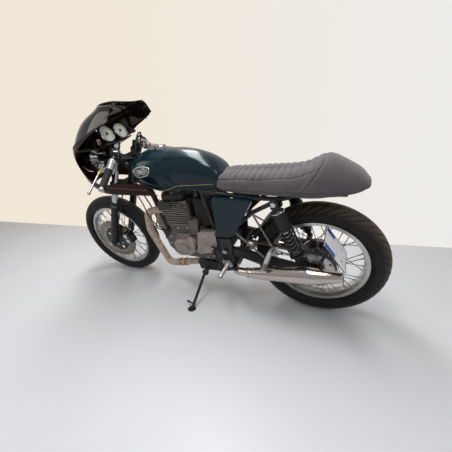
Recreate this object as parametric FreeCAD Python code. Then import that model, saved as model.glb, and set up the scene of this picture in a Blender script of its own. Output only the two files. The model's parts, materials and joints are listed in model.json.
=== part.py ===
import FreeCAD, Part
import math
import os

V = FreeCAD.Vector

# Driving dimensions in millimetres. The bike is drawn upright first:
# X forward from the rear axle, Y to the rider's left, Z up from the ground.
WHEELBASE = 1408.0
LEAN = 11.13
STEER_REST = 4.63
RAKE = 27.13
STEER_GROUND_X = 1513.0
FORK_OFFSET = 52.5
REAR_MAJOR = 266.0
REAR_MINOR = 64.5
FRONT_MAJOR = 266.4
FRONT_MINOR = 53.7
RIM_FLANGE_R = 243.0
RIM_BED_R = 231.0
RIM_INNER_R = 217.0
ORIGIN_X = 700.0
ORIGIN_Y = 160.0

REAR_AXLE = V(0, 0, REAR_MAJOR + REAR_MINOR)
FRONT_R = FRONT_MAJOR + FRONT_MINOR
PIVOT = V(470, 0, 400)
SPROCKET_SHAFT = V(590, 0, 440)
CHAIN_Y = 84.0
CHAIN_PITCH = 15.875
FORK_Y = 97.0
SHELL = 5.0
SCREEN_TOP = 1205.0
SCREEN_ARCH = 420.0
LAMP_R = 86.0
CLOCK_Y = 50.5
CASE_HALF = 88.0
ENGINE_BASE = V(775, 0, 498)
ENGINE_UP = V(0.1205, 0, 0.9927)
BARREL = 82.0
FIN_PITCH = 12.0
FIN_THICK = 4.0
HEADER_R = 21.0
GEAR_SHAFT = V(530, 152, 428)
STAND_PIVOT = V(645, 122, 203)
STAND_FOOT = V(669, 302, 59)
STUB_AT = 0.86
CAP_CENTRE = V(838, 0, 953)
CAP_HINGE = V(876, 0, 957.5)
FILLER_BORE = 22.0
FILLER_DEPTH = 70.0
STEER_LOCK = 26.0
STAND_FOLD = 95.0
BOBBIN_R = 4.0
BOBBIN_DEPTH = 16.0
ARM_OUT = 124.0
SHOCK_Y = 137.0
SPRING_TOP = 136.0
SPRING_SEAT = 72.0
SPRING_R = 30.0
SPRING_WIRE = 5.0
SPRING_TURNS = 6
DAMPER_R = 21.0

SLOPE = math.radians(RAKE)
FORK_UP = V(-math.sin(SLOPE), 0, math.cos(SLOPE))
FORK_FORE = V(math.cos(SLOPE), 0, math.sin(SLOPE))
AXLE_W = (FRONT_R - FORK_OFFSET * math.sin(SLOPE)) / math.cos(SLOPE)


# Helpers
def fork(f, y, w):
    """A point in the fork's own frame: f ahead of the steering axis, w up along it."""
    return V(STEER_GROUND_X, 0, 0) + FORK_FORE * f + FORK_UP * w + V(0, y, 0)


def unit(v):
    return v * (1.0 / v.Length)


def cyl(p, q, r):
    return Part.makeCylinder(r, (q - p).Length, p, q - p)


def cone(p, q, r1, r2):
    return Part.makeCone(r1, r2, (q - p).Length, p, q - p)


def box(x0, x1, y0, y1, z0, z1):
    return Part.makeBox(x1 - x0, y1 - y0, z1 - z0, V(x0, y0, z0))


def fuse(shapes):
    return shapes[0].multiFuse(shapes[1:])


def solid(shape):
    """The largest solid of a result, without the specks a cut can leave."""
    return max(shape.Solids, key=lambda s: s.Volume)


def solids(shape, least=30.0):
    kept = [s for s in shape.Solids if s.Volume > least]
    return kept[0] if len(kept) == 1 else Part.Compound(kept)


def ring(points, radius):
    """A closed outline with every corner rounded."""
    n = len(points)
    corners = []
    for i in range(n):
        a = points[i - 1]
        b = points[i]
        c = points[(i + 1) % n]
        u = unit(a - b)
        w = unit(c - b)
        half = u.getAngle(w) / 2
        mid = unit(u + w)
        run = radius / math.tan(half)
        corners.append((b + u * run, b + mid * (radius / math.sin(half) - radius), b + w * run))
    edges = []
    for i in range(n):
        p, m, q = corners[i]
        edges.append(Part.Arc(p, m, q).toShape())
        edges.append(Part.makeLine(q, corners[(i + 1) % n][0]))
    return Part.Wire(edges)


def plate(points, y0, y1, radius=0):
    """A flat plate whose outline is given in XZ and which runs from y0 to y1."""
    pts = [V(x, y0, z) for x, z in points]
    wire = ring(pts, radius) if radius else Part.makePolygon(pts + pts[:1])
    return Part.Face(wire).extrude(V(0, y1 - y0, 0))


def dome(points, y0, y1, shrink, radius):
    """A cover whose rounded outline, given in XZ, draws in from y0 to its face at y1."""
    middle = V(sum(x for x, z in points) / len(points), 0, sum(z for x, z in points) / len(points))
    base = [V(x, y0, z) for x, z in points]
    face = [middle + (V(x, 0, z) - middle) * shrink + V(0, y1, 0) for x, z in points]
    return Part.makeLoft([ring(base, radius), ring(face, radius * shrink)], True, True)


def path(points, bend):
    """Straight runs between the points, joined by arcs."""
    edges = []
    start = points[0]
    for a, b, c in zip(points, points[1:], points[2:]):
        u = unit(a - b)
        w = unit(c - b)
        half = u.getAngle(w) / 2
        mid = unit(u + w)
        run = bend / math.tan(half)
        edges.append(Part.makeLine(start, b + u * run))
        edges.append(Part.Arc(b + u * run, b + mid * (bend / math.sin(half) - bend), b + w * run).toShape())
        start = b + w * run
    edges.append(Part.makeLine(start, points[-1]))
    return Part.Wire(edges)


def rod(points, r, bend=30.0):
    """A round bar or pipe swept along straight runs joined by bends."""
    if len(points) == 2:
        return cyl(points[0], points[1], r)
    wire = path(points, bend)
    disc = Part.Face(Part.Wire([Part.makeCircle(r, points[0], points[1] - points[0])]))
    return wire.makePipe(disc)


def prism(p, q, r, sides):
    """A bar with a many-sided section, used where a round one would cost too many faces."""
    axis = unit(q - p)
    side = V(0, 0, 1) if abs(axis.z) < 0.8 else V(1, 0, 0)
    u = unit(axis.cross(side))
    w = axis.cross(u)
    pts = []
    for i in range(sides):
        t = 2 * math.pi * i / sides
        pts.append(p + u * (r * math.cos(t)) + w * (r * math.sin(t)))
    return Part.Face(Part.makePolygon(pts + pts[:1])).extrude(q - p)


def hoop(points):
    """A closed smooth curve through the points, as a wire for a loft."""
    curve = Part.BSplineCurve()
    curve.interpolate(points, PeriodicFlag=True)
    return Part.Wire([curve.toShape()])


def lathe(profile, centre):
    """A ring or disc turned about the Y axis. The profile lists (y, radius)."""
    pts = [V(r, y, 0) for y, r in profile]
    face = Part.Face(Part.makePolygon(pts + pts[:1]))
    turned = face.revolve(V(0, 0, 0), V(0, 1, 0), 360)
    turned.translate(centre)
    return turned


def turned_about(p, q, profile):
    """A turned body on the line from p to q. The profile lists (distance along, radius)."""
    pts = [V(r, 0, s) for s, r in profile]
    face = Part.Face(Part.makePolygon(pts + pts[:1]))
    body = face.revolve(V(0, 0, 0), V(0, 0, 1), 360)
    body.Placement = FreeCAD.Placement(p, FreeCAD.Rotation(V(0, 0, 1), q - p))
    return body


def at(shape, p, direction):
    """Place a shape drawn at the zero point with its Z along a direction."""
    shape.Placement = FreeCAD.Placement(p, FreeCAD.Rotation(V(0, 0, 1), direction)).multiply(shape.Placement)
    return shape


# Wheels
def tyre(major, minor, bed_half, centre):
    """A road tyre: round outside, its beads inside the rim's flanges."""
    mid_y = (minor + bed_half) / 2 + 4
    pts = [V(RIM_BED_R, -bed_half, 0), V(RIM_FLANGE_R, -bed_half, 0), V(major, -minor, 0),
           V(major, minor, 0), V(RIM_FLANGE_R, bed_half, 0), V(RIM_BED_R, bed_half, 0)]
    side_a = Part.Arc(pts[1], V((RIM_FLANGE_R + major) / 2 - 5, -mid_y, 0), pts[2]).toShape()
    crown = Part.Arc(pts[2], V(major + minor, 0, 0), pts[3]).toShape()
    side_b = Part.Arc(pts[3], V((RIM_FLANGE_R + major) / 2 - 5, mid_y, 0), pts[4]).toShape()
    wire = Part.Wire([Part.makeLine(pts[0], pts[1]), side_a, crown, side_b,
                      Part.makeLine(pts[4], pts[5]), Part.makeLine(pts[5], pts[0])])
    body = Part.Face(wire).revolve(V(0, 0, 0), V(0, 1, 0), 360)
    body.translate(centre)
    return body


def rim(bed_half, centre):
    edge = bed_half + 4
    return lathe([(-edge, RIM_FLANGE_R), (-bed_half, RIM_FLANGE_R), (-bed_half, RIM_BED_R),
                  (bed_half, RIM_BED_R), (bed_half, RIM_FLANGE_R), (edge, RIM_FLANGE_R),
                  (edge, RIM_BED_R - 5), (bed_half * 0.5, RIM_INNER_R), (-bed_half * 0.5, RIM_INNER_R),
                  (-edge, RIM_BED_R - 5)], centre)


def spokes(centre, left, right, rim_half):
    """Thirty-six crossed spokes. left and right give each flange's (y, radius)."""
    bars = []
    for i in range(36):
        y, r = left if i % 2 == 0 else right
        lay = 38 if (i // 2) % 2 == 0 else -38
        at_rim = math.radians(i * 10)
        at_hub = math.radians(i * 10 + lay)
        side = rim_half if i % 2 == 0 else -rim_half
        p = centre + V(r * math.cos(at_hub), y, r * math.sin(at_hub))
        q = centre + V((RIM_INNER_R + 1) * math.cos(at_rim), side, (RIM_INNER_R + 1) * math.sin(at_rim))
        bars.append(prism(p, q, 2.2, 5))
    return bars


def front_wheel():
    c = fork(FORK_OFFSET, 0, AXLE_W)
    t = tyre(FRONT_MAJOR, FRONT_MINOR, 29, c)
    r = rim(29, c)
    hub = lathe([(-48, 8.6), (-48, 24), (-40, 26), (-38, 46), (-32, 46), (-30, 26),
                 (30, 26), (32, 46), (38, 46), (40, 30), (54, 30), (54, 8.6)], c)
    wheel = fuse([hub] + spokes(c, (35, 44), (-35, 44), 7)).cut(r)
    disc = lathe([(58, 98), (58, 155), (63, 155), (63, 98)], c)
    carrier = lathe([(54, 12), (54, 50), (58, 60), (58, 98), (64, 98), (64, 40), (57, 12)], c)
    holes = [cyl(c + V(75 * math.cos(a), 50, 75 * math.sin(a)), c + V(75 * math.cos(a), 70, 75 * math.sin(a)), 13)
             for a in [math.radians(36 + 72 * k) for k in range(5)]]
    carrier = carrier.cut(Part.Compound(holes)).cut(hub)
    return {"front_tyre": t, "front_rim": r, "front_hub_spokes": solid(wheel),
            "front_disc": disc, "front_disc_carrier": solid(carrier)}


def rear_sprocket(c):
    teeth = 38
    pitch_r = CHAIN_PITCH / (2 * math.sin(math.pi / teeth))
    outer = pitch_r - 10
    pts = []
    for i in range(teeth):
        for part, r in ((-0.3, outer), (0.0, outer + 3), (0.3, outer)):
            a = 2 * math.pi * (i + part) / teeth
            pts.append(V(c.x + r * math.cos(a), CHAIN_Y - 3, c.z + r * math.sin(a)))
    blank = Part.Face(Part.makePolygon(pts + pts[:1])).extrude(V(0, 6, 0))
    holes = [cyl(c + V(78 * math.cos(a), CHAIN_Y - 9, 78 * math.sin(a)),
                 c + V(78 * math.cos(a), CHAIN_Y + 9, 78 * math.sin(a)), 10)
             for a in [math.radians(30 + 60 * k) for k in range(6)]]
    centre_hole = cyl(c + V(0, CHAIN_Y - 9, 0), c + V(0, CHAIN_Y + 9, 0), 30)
    return blank.cut(Part.Compound(holes + [centre_hole]))


def rear_wheel():
    c = REAR_AXLE
    t = tyre(REAR_MAJOR, REAR_MINOR, 36, c)
    r = rim(36, c)
    sprocket = rear_sprocket(c)
    hub = lathe([(-58, 9.1), (-58, 92), (-28, 92), (-26, 100), (-20, 100), (-18, 60), (-6, 34), (26, 34),
                 (30, 50), (36, 50), (38, 60), (CHAIN_Y - 3, 64), (CHAIN_Y - 3, 30), (CHAIN_Y + 3, 30),
                 (CHAIN_Y + 3, 9.1)], c)
    wheel = fuse([hub] + spokes(c, (33, 48), (-23, 96), 7)).cut(r)
    return {"rear_tyre": t, "rear_rim": r, "rear_hub_spokes": solid(wheel), "rear_sprocket": sprocket}


def rear_brake():
    """The fixed plate that closes the brake drum, its torque arm, lever and operating rod."""
    c = REAR_AXLE
    disc = lathe([(-72, 9.1), (-72, 30), (-66, 84), (-59, 88), (-59, 9.1)], c)
    arm_end = V(250, -92, 346)
    pin = cyl(c + V(60, -90, -38), c + V(60, -62, -38), 8)
    arm = plate([(56, 286), (66, 300), (246, 352), (256, 340)], -92, -84, 5)
    stud = cyl(arm_end + V(0, -9, 0), arm_end + V(0, 8, 0), 8)
    cam = cyl(c + V(-30, -92, -62), c + V(-30, -64, -62), 8)
    lever = plate([(-38, 262), (-22, 262), (-26, 206), (-36, 206)], -92, -84, 4)
    rod_bar = cyl(V(-31, -88, 212), V(505, -152, 304), 4)
    return fuse([disc, pin, arm, stud, cam, lever, rod_bar])


# Running gear
def chain():
    """One closed loop of links around both sprockets, alternate links wider."""
    r1 = CHAIN_PITCH / (2 * math.sin(math.pi / 38))
    r2 = CHAIN_PITCH / (2 * math.sin(math.pi / 16))
    a = REAR_AXLE
    b = SPROCKET_SHAFT
    run = V(b.x - a.x, 0, b.z - a.z)
    base = math.atan2(run.z, run.x)
    swing = math.acos((r1 - r2) / run.Length)
    up = base + swing
    down = base - swing
    straight = math.sqrt(run.Length ** 2 - (r1 - r2) ** 2)
    big = r1 * (2 * math.pi - 2 * swing)
    small = r2 * 2 * swing
    total = 2 * straight + big + small
    count = int(round(total / CHAIN_PITCH / 2)) * 2

    def point(s):
        s = s % total
        if s < straight:
            p = V(a.x + r1 * math.cos(up), 0, a.z + r1 * math.sin(up))
            q = V(b.x + r2 * math.cos(up), 0, b.z + r2 * math.sin(up))
            return p + (q - p) * (s / straight)
        s -= straight
        if s < small:
            t = up - s / r2
            return V(b.x + r2 * math.cos(t), 0, b.z + r2 * math.sin(t))
        s -= small
        if s < straight:
            p = V(b.x + r2 * math.cos(down), 0, b.z + r2 * math.sin(down))
            q = V(a.x + r1 * math.cos(down), 0, a.z + r1 * math.sin(down))
            return p + (q - p) * (s / straight)
        s -= straight
        t = down - s / r1
        return V(a.x + r1 * math.cos(t), 0, a.z + r1 * math.sin(t))

    links = []
    for i in range(count):
        p = point(total * i / count)
        q = point(total * (i + 1) / count)
        d = unit(q - p)
        n = V(-d.z, 0, d.x)
        half = 9.0 if i % 2 == 0 else 6.0
        y = V(0, CHAIN_Y - half, 0)
        pts = [p - d * 5 + n * 3, p + n * 6.5, q + n * 6.5, q + d * 5 + n * 3,
               q + d * 5 - n * 3, q - n * 6.5, p - n * 6.5, p - d * 5 - n * 3]
        pts = [k + y for k in pts]
        links.append(Part.Face(Part.makePolygon(pts + pts[:1])).extrude(V(0, 2 * half, 0)))
    return fuse(links)


def swingarm():
    p = PIVOT
    arms = []
    for s in (1, -1):
        arms.append(plate([(-42, 312), (-42, 350), (30, 360), (430, 420), (496, 424), (496, 376),
                           (430, 372), (30, 316)], 100 * s, ARM_OUT * s))
        arms.append(plate([(40, 345), (46, 396), (68, 396), (84, 345)], 110 * s, 122 * s))
        arms.append(cyl(V(57, 110 * s, 385), V(57, 153 * s, 385), 7))
    tube = cyl(V(p.x, -ARM_OUT, p.z), V(p.x, ARM_OUT, p.z), 22)
    brace = cyl(V(392, -112, 394), V(392, 112, 394), 17)
    body = fuse(arms + [tube, brace])
    holes = [cyl(p + V(0, -130, 0), p + V(0, 130, 0), 9)]
    for s in (1, -1):
        mouth, out = bobbin_mount(s)
        holes.append(cyl(mouth + out, mouth - out * BOBBIN_DEPTH, BOBBIN_R))
    return body.cut(Part.Compound(holes))


def bobbin_mount(s):
    """The mouth of the paddock-stand hole in one arm, and the way out of it."""
    return V(-25, ARM_OUT * s, 331), V(0, s, 0)


def rear_axle():
    c = REAR_AXLE
    pin = cyl(c + V(0, -128, 0), c + V(0, 128, 0), 8.5)
    ends = [cyl(c + V(0, s * 124, 0), c + V(0, s * 140, 0), 14) for s in (1, -1)]
    spacer = [cyl(c + V(0, CHAIN_Y + 4, 0), c + V(0, 100, 0), 15),
              cyl(c + V(0, -100, 0), c + V(0, -72, 0), 16)]
    return fuse([pin] + ends + spacer)


def shock_line(side):
    """The top and lower eyes of a rear shock."""
    return V(182, SHOCK_Y * side, 709), V(57, SHOCK_Y * side, 385)


def shock(side):
    """A rear shock: top eye, black bell, damper body, spring seat and lower clevis."""
    top, low = shock_line(side)
    d = unit(low - top)
    total = (low - top).Length
    seat_at = total - SPRING_SEAT
    eye = cyl(top + V(0, -14, 0), top + V(0, 14, 0), 16)
    neck = cyl(top + d * 10, top + d * 40, 14)
    bell = turned_about(top, low, [(34, 0), (34, 19), (44, 30), (SPRING_TOP - 8, 31), (SPRING_TOP - 8, 36),
                                   (SPRING_TOP, 36), (SPRING_TOP, 0)])
    damper = cyl(top + d * (SPRING_TOP - 1), top + d * (seat_at + 1), DAMPER_R)
    seat = turned_about(top, low, [(seat_at, 0), (seat_at, 36), (seat_at + 9, 36), (seat_at + 20, 24),
                                   (total - 30, 22), (total - 30, 0)])
    clevis = cyl(top + d * (total - 31), low, 13)
    foot = cyl(low + V(0, -13, 0), low + V(0, 13, 0), 15)
    return fuse([eye, neck, bell, damper, seat, clevis, foot])


def spring(side):
    """The spring's turns, between the bell and the lower seat."""
    top, low = shock_line(side)
    d = unit(low - top)
    start = SPRING_TOP + SPRING_WIRE + 0.5
    end = (low - top).Length - SPRING_SEAT - SPRING_WIRE - 0.5
    steps = 12
    u = unit(d.cross(V(0, 1, 0)))
    w = d.cross(u)
    bars = []
    last = None
    for i in range(SPRING_TURNS * steps + 1):
        t = 2 * math.pi * i / steps
        along = start + (end - start) * i / (SPRING_TURNS * steps)
        p = top + d * along + u * (SPRING_R * math.cos(t)) + w * (SPRING_R * math.sin(t))
        if last is not None:
            bars.append(prism(last, p + unit(p - last) * 1.5, SPRING_WIRE, 6))
        last = p
    return fuse(bars)


# Frame
def main_frame():
    head = turned_about(fork(0, 0, 0), fork(0, 0, 1),
                        [(852.3, 10), (852.3, 33), (868, 29), (988, 29), (1003.7, 33), (1003.7, 10)])
    spine = rod([fork(-20, 0, 950), V(900, 0, 830), V(640, 0, 800), V(560, 0, 740)], 25, 60)
    down = rod([fork(0, 0, 890), V(1000, 0, 690), V(936, 0, 378), V(930, 0, 350)], 17, 60)
    gusset = plate([(1085, 800), (1010, 830), (1025, 720)], -4, 4)
    cross = cyl(V(575, -100, 745), V(575, 100, 745), 13)
    posts = []
    for s in (1, -1):
        posts.append(rod([V(575, 90 * s, 745), V(520, 100 * s, 480), V(470, 108 * s, 320),
                          V(462, 96 * s, 250)], 14, 40))
    lower = cyl(V(462, -96, 262), V(462, 96, 262), 13)
    mounts = plate([(968, 350), (905, 345), (868, 400), (868, 440), (962, 420)], -30, 30, 8)
    rear_mount = cyl(V(526, -98, 512), V(526, 98, 512), 10)
    lug = plate([(518, 506), (530, 522), (580, 506), (570, 480)], -30, 30)
    body = fuse([head, spine, down, gusset, cross, lower] + posts + [mounts, rear_mount, lug])
    return body.cut(cyl(fork(0, 0, 800), fork(0, 0, 1060), 14.3))


def rear_rails():
    """Top rails that run up under the seat, lower stays, and the cross tubes between them."""
    shapes = []
    for s in (1, -1):
        shapes.append(rod([V(575, 98 * s, 738), V(300, 104 * s, 717), V(160, 104 * s, 716), V(70, 96 * s, 741),
                           V(-75, 84 * s, 748)], 11, 50))
        shapes.append(rod([V(512, 106 * s, 440), V(300, 108 * s, 640), V(170, 104 * s, 712)], 11, 40))
        shapes.append(cyl(V(182, 100 * s, 709), V(182, 156 * s, 709), 8))
        shapes.append(plate([(208, 724), (160, 726), (150, 688), (176, 652), (208, 664)], 98 * s, 110 * s, 8))
    shapes.append(cyl(V(-68, -84, 747), V(-68, 84, 747), 10))
    shapes.append(cyl(V(170, -104, 717), V(170, 104, 717), 10))
    return fuse(shapes)


def pivot_plates():
    shapes = []
    for s in (1, -1):
        shapes.append(plate([(514, 478), (424, 482), (430, 330), (452, 300), (545, 322), (560, 400)],
                            126 * s, 132 * s, 8))
        shapes.append(cyl(PIVOT + V(0, 131 * s, 0), PIVOT + V(0, 140 * s, 0), 15))
    shapes.append(cyl(PIVOT + V(0, -136, 0), PIVOT + V(0, 136, 0), 8.9))
    return fuse(shapes)


# Engine
def crankcase():
    body = plate([(500, 300), (540, 470), (600, 520), (690, 520), (795, 506), (852, 456), (903, 400), (895, 345),
                  (850, 300), (760, 285), (600, 285)], -CASE_HALF, CASE_HALF, 16)
    tower = plate([(708, 470), (690, 556), (640, 576), (624, 560), (640, 470)], -20, 112, 10)
    neck = at(Part.makeBox(176, 150, 34, V(-88, -75, -24)), ENGINE_BASE, ENGINE_UP)
    return fuse([body, tower, neck])


def left_case():
    """The generator cover: an oval dome with a raised boss in the middle."""
    outline = [(822, 418), (786, 452), (700, 462), (644, 432), (648, 372), (700, 330), (768, 318), (812, 350)]
    body = dome(outline, CASE_HALF, 144, 0.84, 28)
    flange = plate(outline, CASE_HALF, CASE_HALF + 8, 28)
    boss = cyl(V(733, 140, 390), V(733, 149, 390), 24)
    return fuse([body, flange, boss])


def right_case():
    """The clutch cover: a dome with a round cap and the oil filler."""
    outline = [(600, 330), (610, 480), (700, 505), (820, 480), (850, 410), (820, 320), (700, 295)]
    body = dome(outline, -CASE_HALF, -146, 0.88, 30)
    cover = cyl(V(735, -140, 400), V(735, -156, 400), 62)
    filler = cyl(V(822, -128, 448), V(822, -152, 448), 13)
    return fuse([body, cover, filler])


def sprocket_cover():
    body = plate([(619, 507), (514, 523), (511, 442), (546, 384), (650, 358)], 104, 140, 12)
    return fuse([body, cyl(V(GEAR_SHAFT.x, 138, GEAR_SHAFT.z), V(GEAR_SHAFT.x, 152, GEAR_SHAFT.z), 12)])


def cooling_fins(base, count, pitch, fore, aft, side):
    """A stack of thin fins along the cylinder's axis."""
    stack = []
    outline = [V(-aft, -side, 0), V(fore, -side, 0), V(fore, side, 0), V(-aft, side, 0)]
    for k in range(count):
        slab = Part.Face(ring(outline, 18)).extrude(V(0, 0, FIN_THICK))
        stack.append(at(slab, base + ENGINE_UP * (pitch * k), ENGINE_UP))
    return stack


def cylinder():
    core = at(Part.makeBox(140, 136, BARREL, V(-70, -68, 0)), ENGINE_BASE, ENGINE_UP)
    return fuse([core] + cooling_fins(ENGINE_BASE + ENGINE_UP * 14, 6, FIN_PITCH, 96, 98, 88))


def head():
    """Finned head with a smooth cam housing, a rocker lid with four caps, two exhaust ports and the inlet."""
    base = ENGINE_BASE + ENGINE_UP * BARREL
    core = at(Part.makeBox(146, 140, 116, V(-73, -70, 0)), base, ENGINE_UP)
    stack = cooling_fins(base + ENGINE_UP * 5, 7, FIN_PITCH, 102, 104, 92)
    block = at(Part.makeBox(96, 58, 50, V(6, 36, 34)), base, ENGINE_UP)
    lid_ring = ring([V(-82, -64, 0), V(84, -64, 0), V(84, 64, 0), V(-82, 64, 0)], 20)
    lid = at(Part.Face(lid_ring).extrude(V(0, 0, 30)), base + ENGINE_UP * 90, ENGINE_UP)
    caps = []
    for x, tilt in ((-58, -0.5), (60, 0.5)):
        for y in (-34, 34):
            seat_point = base + ENGINE_UP * 106 + V(x, y, 0)
            out = unit(ENGINE_UP + V(tilt, 0, 0))
            caps.append(turned_about(seat_point, seat_point + out, [(-14, 0), (-14, 22), (16, 22), (20, 18), (20, 0)]))
    ports = [cyl(V(840, 45 * s, 606), V(893, 48 * s, 592), 27) for s in (1, -1)]
    inlet = cyl(V(740, 0, 655), V(694, 0, 648), 26)
    return fuse([core, block, lid, inlet] + stack + caps + ports)


def carburettor():
    bowl = cyl(V(668, 0, 570), V(668, 0, 626), 24)
    body = cyl(V(640, 0, 642), V(694, 0, 648), 28)
    dome = cyl(V(668, 0, 640), V(665, 0, 712), 23)
    return fuse([body, bowl, dome])


def airbox():
    return plate([(640, 690), (540, 690), (505, 640), (500, 540), (600, 525), (640, 560)], -92, 92, 15)


def side_cover(s):
    outline = [(494, 722), (284, 714), (404, 506), (500, 494)]
    outer = plate(outline, 136 * s, 142 * s, 10)
    rim_band = plate(outline, 118 * s, 136 * s, 10)
    inner = plate([(486, 713), (302, 706), (410, 516), (492, 504)], 118 * s, 136 * s, 6)
    return fuse([outer, rim_band.cut(inner)])


def header_run(s):
    """Centre line of one exhaust pipe, from the port down and back under the engine."""
    return [V(893, 47 * s, 592), V(1034, 52 * s, 562), V(1056, 55 * s, 430), V(964, 58 * s, 170),
            V(700, 58 * s, 233)]


def headers():
    pipes = []
    for s in (1, -1):
        run = header_run(s)
        pipe = rod(run, HEADER_R, 52)
        port = unit(run[1] - run[0])
        collar = cyl(run[0], run[0] + port * 16, HEADER_R + 8)
        tail = unit(run[4] - run[3])
        clamps = [cyl(run[3] + tail * k, run[3] + tail * (k + 16), HEADER_R + 4) for k in (96, 140)]
        pipes.append(fuse([pipe, collar] + clamps))
    return Part.Compound(pipes)


def collector():
    """The flat black box under the engine where the two pipes meet and part again."""
    return plate([(702, 262), (650, 276), (520, 270), (440, 280), (430, 240), (540, 206), (690, 198)],
                 -92, 92, 10)


def silencer(s):
    """A long slim silencer that swells to the middle and draws in to its tip."""
    front, tip = silencer_line(s)
    d = unit(tip - front)
    n = (tip - front).Length
    link = rod([V(445, 78 * s, 254), V(420, 120 * s, 260), front - d * 52 - V(0, 8 * s, 0), front + d * 12], 22, 24)
    shell = turned_about(front, tip, [(0, 0), (0, 24), (30, 29), (n * 0.66, 42), (n * 0.7, 42), (n - 12, 24),
                                      (n, 22), (n, 18), (n - 60, 18), (n - 60, 0)])
    collar = cyl(front - d * 8, front + d * 10, 27)
    return fuse([link, shell, collar])


def silencer_line(s):
    """The left silencer climbs towards its tip; the right one lies lower and level."""
    if s > 0:
        return V(320, 190, 325), V(-123, 200, 402)
    return V(330, -186, 258), V(-88, -196, 264)


# Tank and seat
def tank_section(x, top, bottom, wide, foot, crown=0.78):
    """One cross-section: crown sets how square the shoulders are."""
    h = top - bottom
    right = [(0, top), (0.42 * wide, top - 0.05 * h), (crown * wide, top - 0.19 * h), (0.96 * wide, top - 0.42 * h),
             (wide, top - 0.64 * h), (0.97 * wide, top - 0.86 * h), (foot * wide, bottom)]
    pts = [V(x, y, z) for y, z in right]
    pts.append(V(x, 0, bottom))
    pts += [V(x, -y, z) for y, z in reversed(right[1:])]
    return hoop(pts)


def tank():
    wires = [
        tank_section(455, 820, 764, 62, 0.8),
        tank_section(478, 858, 752, 84, 0.85),
        tank_section(530, 896, 745, 99, 0.88),
        tank_section(610, 926, 743, 108, 0.9),
        tank_section(700, 941, 742, 114, 0.92),
        tank_section(765, 944, 741, 124, 0.92),
        tank_section(800, 947, 742, 136, 0.9),
        tank_section(880, 948, 760, 138, 0.88),
        tank_section(940, 938, 790, 128, 0.86),
        tank_section(985, 916, 818, 108, 0.84),
        tank_section(1010, 896, 838, 90, 0.8),
    ]
    body = Part.makeLoft(wires, True, False)
    tunnel = box(440, 1100, -42, 42, 700, 858)
    nose = cyl(fork(0, 0, 800), fork(0, 0, 1100), 74)
    bore = cyl(CAP_CENTRE + V(0, 0, -FILLER_DEPTH), CAP_CENTRE + V(0, 0, 60), FILLER_BORE + 3)
    return solid(body.cut(tunnel).cut(nose).cut(bore))


def filler_neck():
    c = CAP_CENTRE
    neck = fuse([cyl(c + V(0, 0, -16), c, 34), cyl(c + V(0, 0, -16), c + V(44, 0, -12), 9),
                 cyl(c + V(0, 0, -FILLER_DEPTH), c + V(0, 0, -10), FILLER_BORE + 3)])
    eye = V(CAP_HINGE.x, 0, CAP_HINGE.z)
    lugs = [cyl(eye + V(0, y, 0), eye + V(0, y + 4.5, 0), 4) for y in (5.5, -10)]
    feet = [box(eye.x - 3.5, eye.x + 3.5, y, y + 4.5, c.z - 14, eye.z) for y in (5.5, -10)]
    pin = cyl(eye + V(0, -10, 0), eye + V(0, 10, 0), 1.8)
    bore = cyl(c + V(0, 0, -FILLER_DEPTH), c + V(0, 0, 1), FILLER_BORE)
    return fuse([neck] + lugs + feet + [pin]).cut(bore)


def filler_cap():
    c = CAP_CENTRE
    disc = turned_about(c, c + V(0, 0, 1), [(0.0, 0), (0.0, 30), (4.5, 30), (6.5, 27), (6.5, 0)])
    tongue = box(c.x + 24, c.x + 38, -5, 5, c.z + 1, c.z + 8)
    eye = cyl(c + V(38, -5, 4.5), c + V(38, 5, 4.5), 3.6)
    hole = cyl(c + V(38, -12, 4.5), c + V(38, 12, 4.5), 2.1)
    return fuse([disc, tongue, eye]).cut(hole)


def seat_section(x, top, bottom, wide, crown):
    """One cross-section of the seat: rounded top, flanks that fall straight to a flat underside."""
    h = top - bottom
    right = [(0, top), (0.45 * wide, top - 0.05 * h), (crown * wide, top - 0.2 * h), (0.95 * wide, top - 0.42 * h),
             (wide, bottom + 0.3 * h), (wide, bottom + 0.08 * h), (0.93 * wide, bottom), (0.5 * wide, bottom)]
    pts = [V(x, y, z) for y, z in right]
    pts.append(V(x, 0, bottom))
    pts += [V(x, -y, z) for y, z in reversed(right[1:])]
    return hoop(pts)


def seat():
    wires = [
        seat_section(500, 812, 745, 80, 0.84),
        seat_section(470, 822, 741, 100, 0.84),
        seat_section(430, 826, 737, 113, 0.84),
        seat_section(360, 828, 733, 121, 0.84),
        seat_section(280, 829, 731, 127, 0.85),
        seat_section(190, 832, 729, 130, 0.85),
        seat_section(100, 839, 726, 130, 0.84),
        seat_section(50, 853, 726, 129, 0.82),
        seat_section(5, 876, 727, 126, 0.80),
        seat_section(-35, 881, 729, 120, 0.78),
        seat_section(-80, 862, 731, 110, 0.78),
        seat_section(-130, 834, 735, 94, 0.78),
        seat_section(-170, 806, 744, 74, 0.76),
        seat_section(-198, 776, 757, 46, 0.7),
    ]
    return solid(Part.makeLoft(wires, True, False))


def seat_pan():
    """The base plate that the seat is built on, let into its underside."""
    return plate([(410, 744), (410, 727), (180, 720), (100, 716), (-110, 722), (-110, 742), (100, 737), (180, 739)],
                 -66, 66)


# Fairing
LEVELS = [(690, 182, 1290, 250), (729, 190, 1312, 252), (753, 195, 1383, 280), (790, 200, 1422, 300),
          (855, 210, 1446, 320), (930, 220, 1454, 330), (985, 222, 1438, 330), (1030, 215, 1400, 318),
          (1073, 202, 1358, 296), (1115, 178, 1305, 240), (1147, 155, 1245, 190), (1182, 128, 1160, 140),
          (1206, 112, 1094, 100)]


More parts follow.
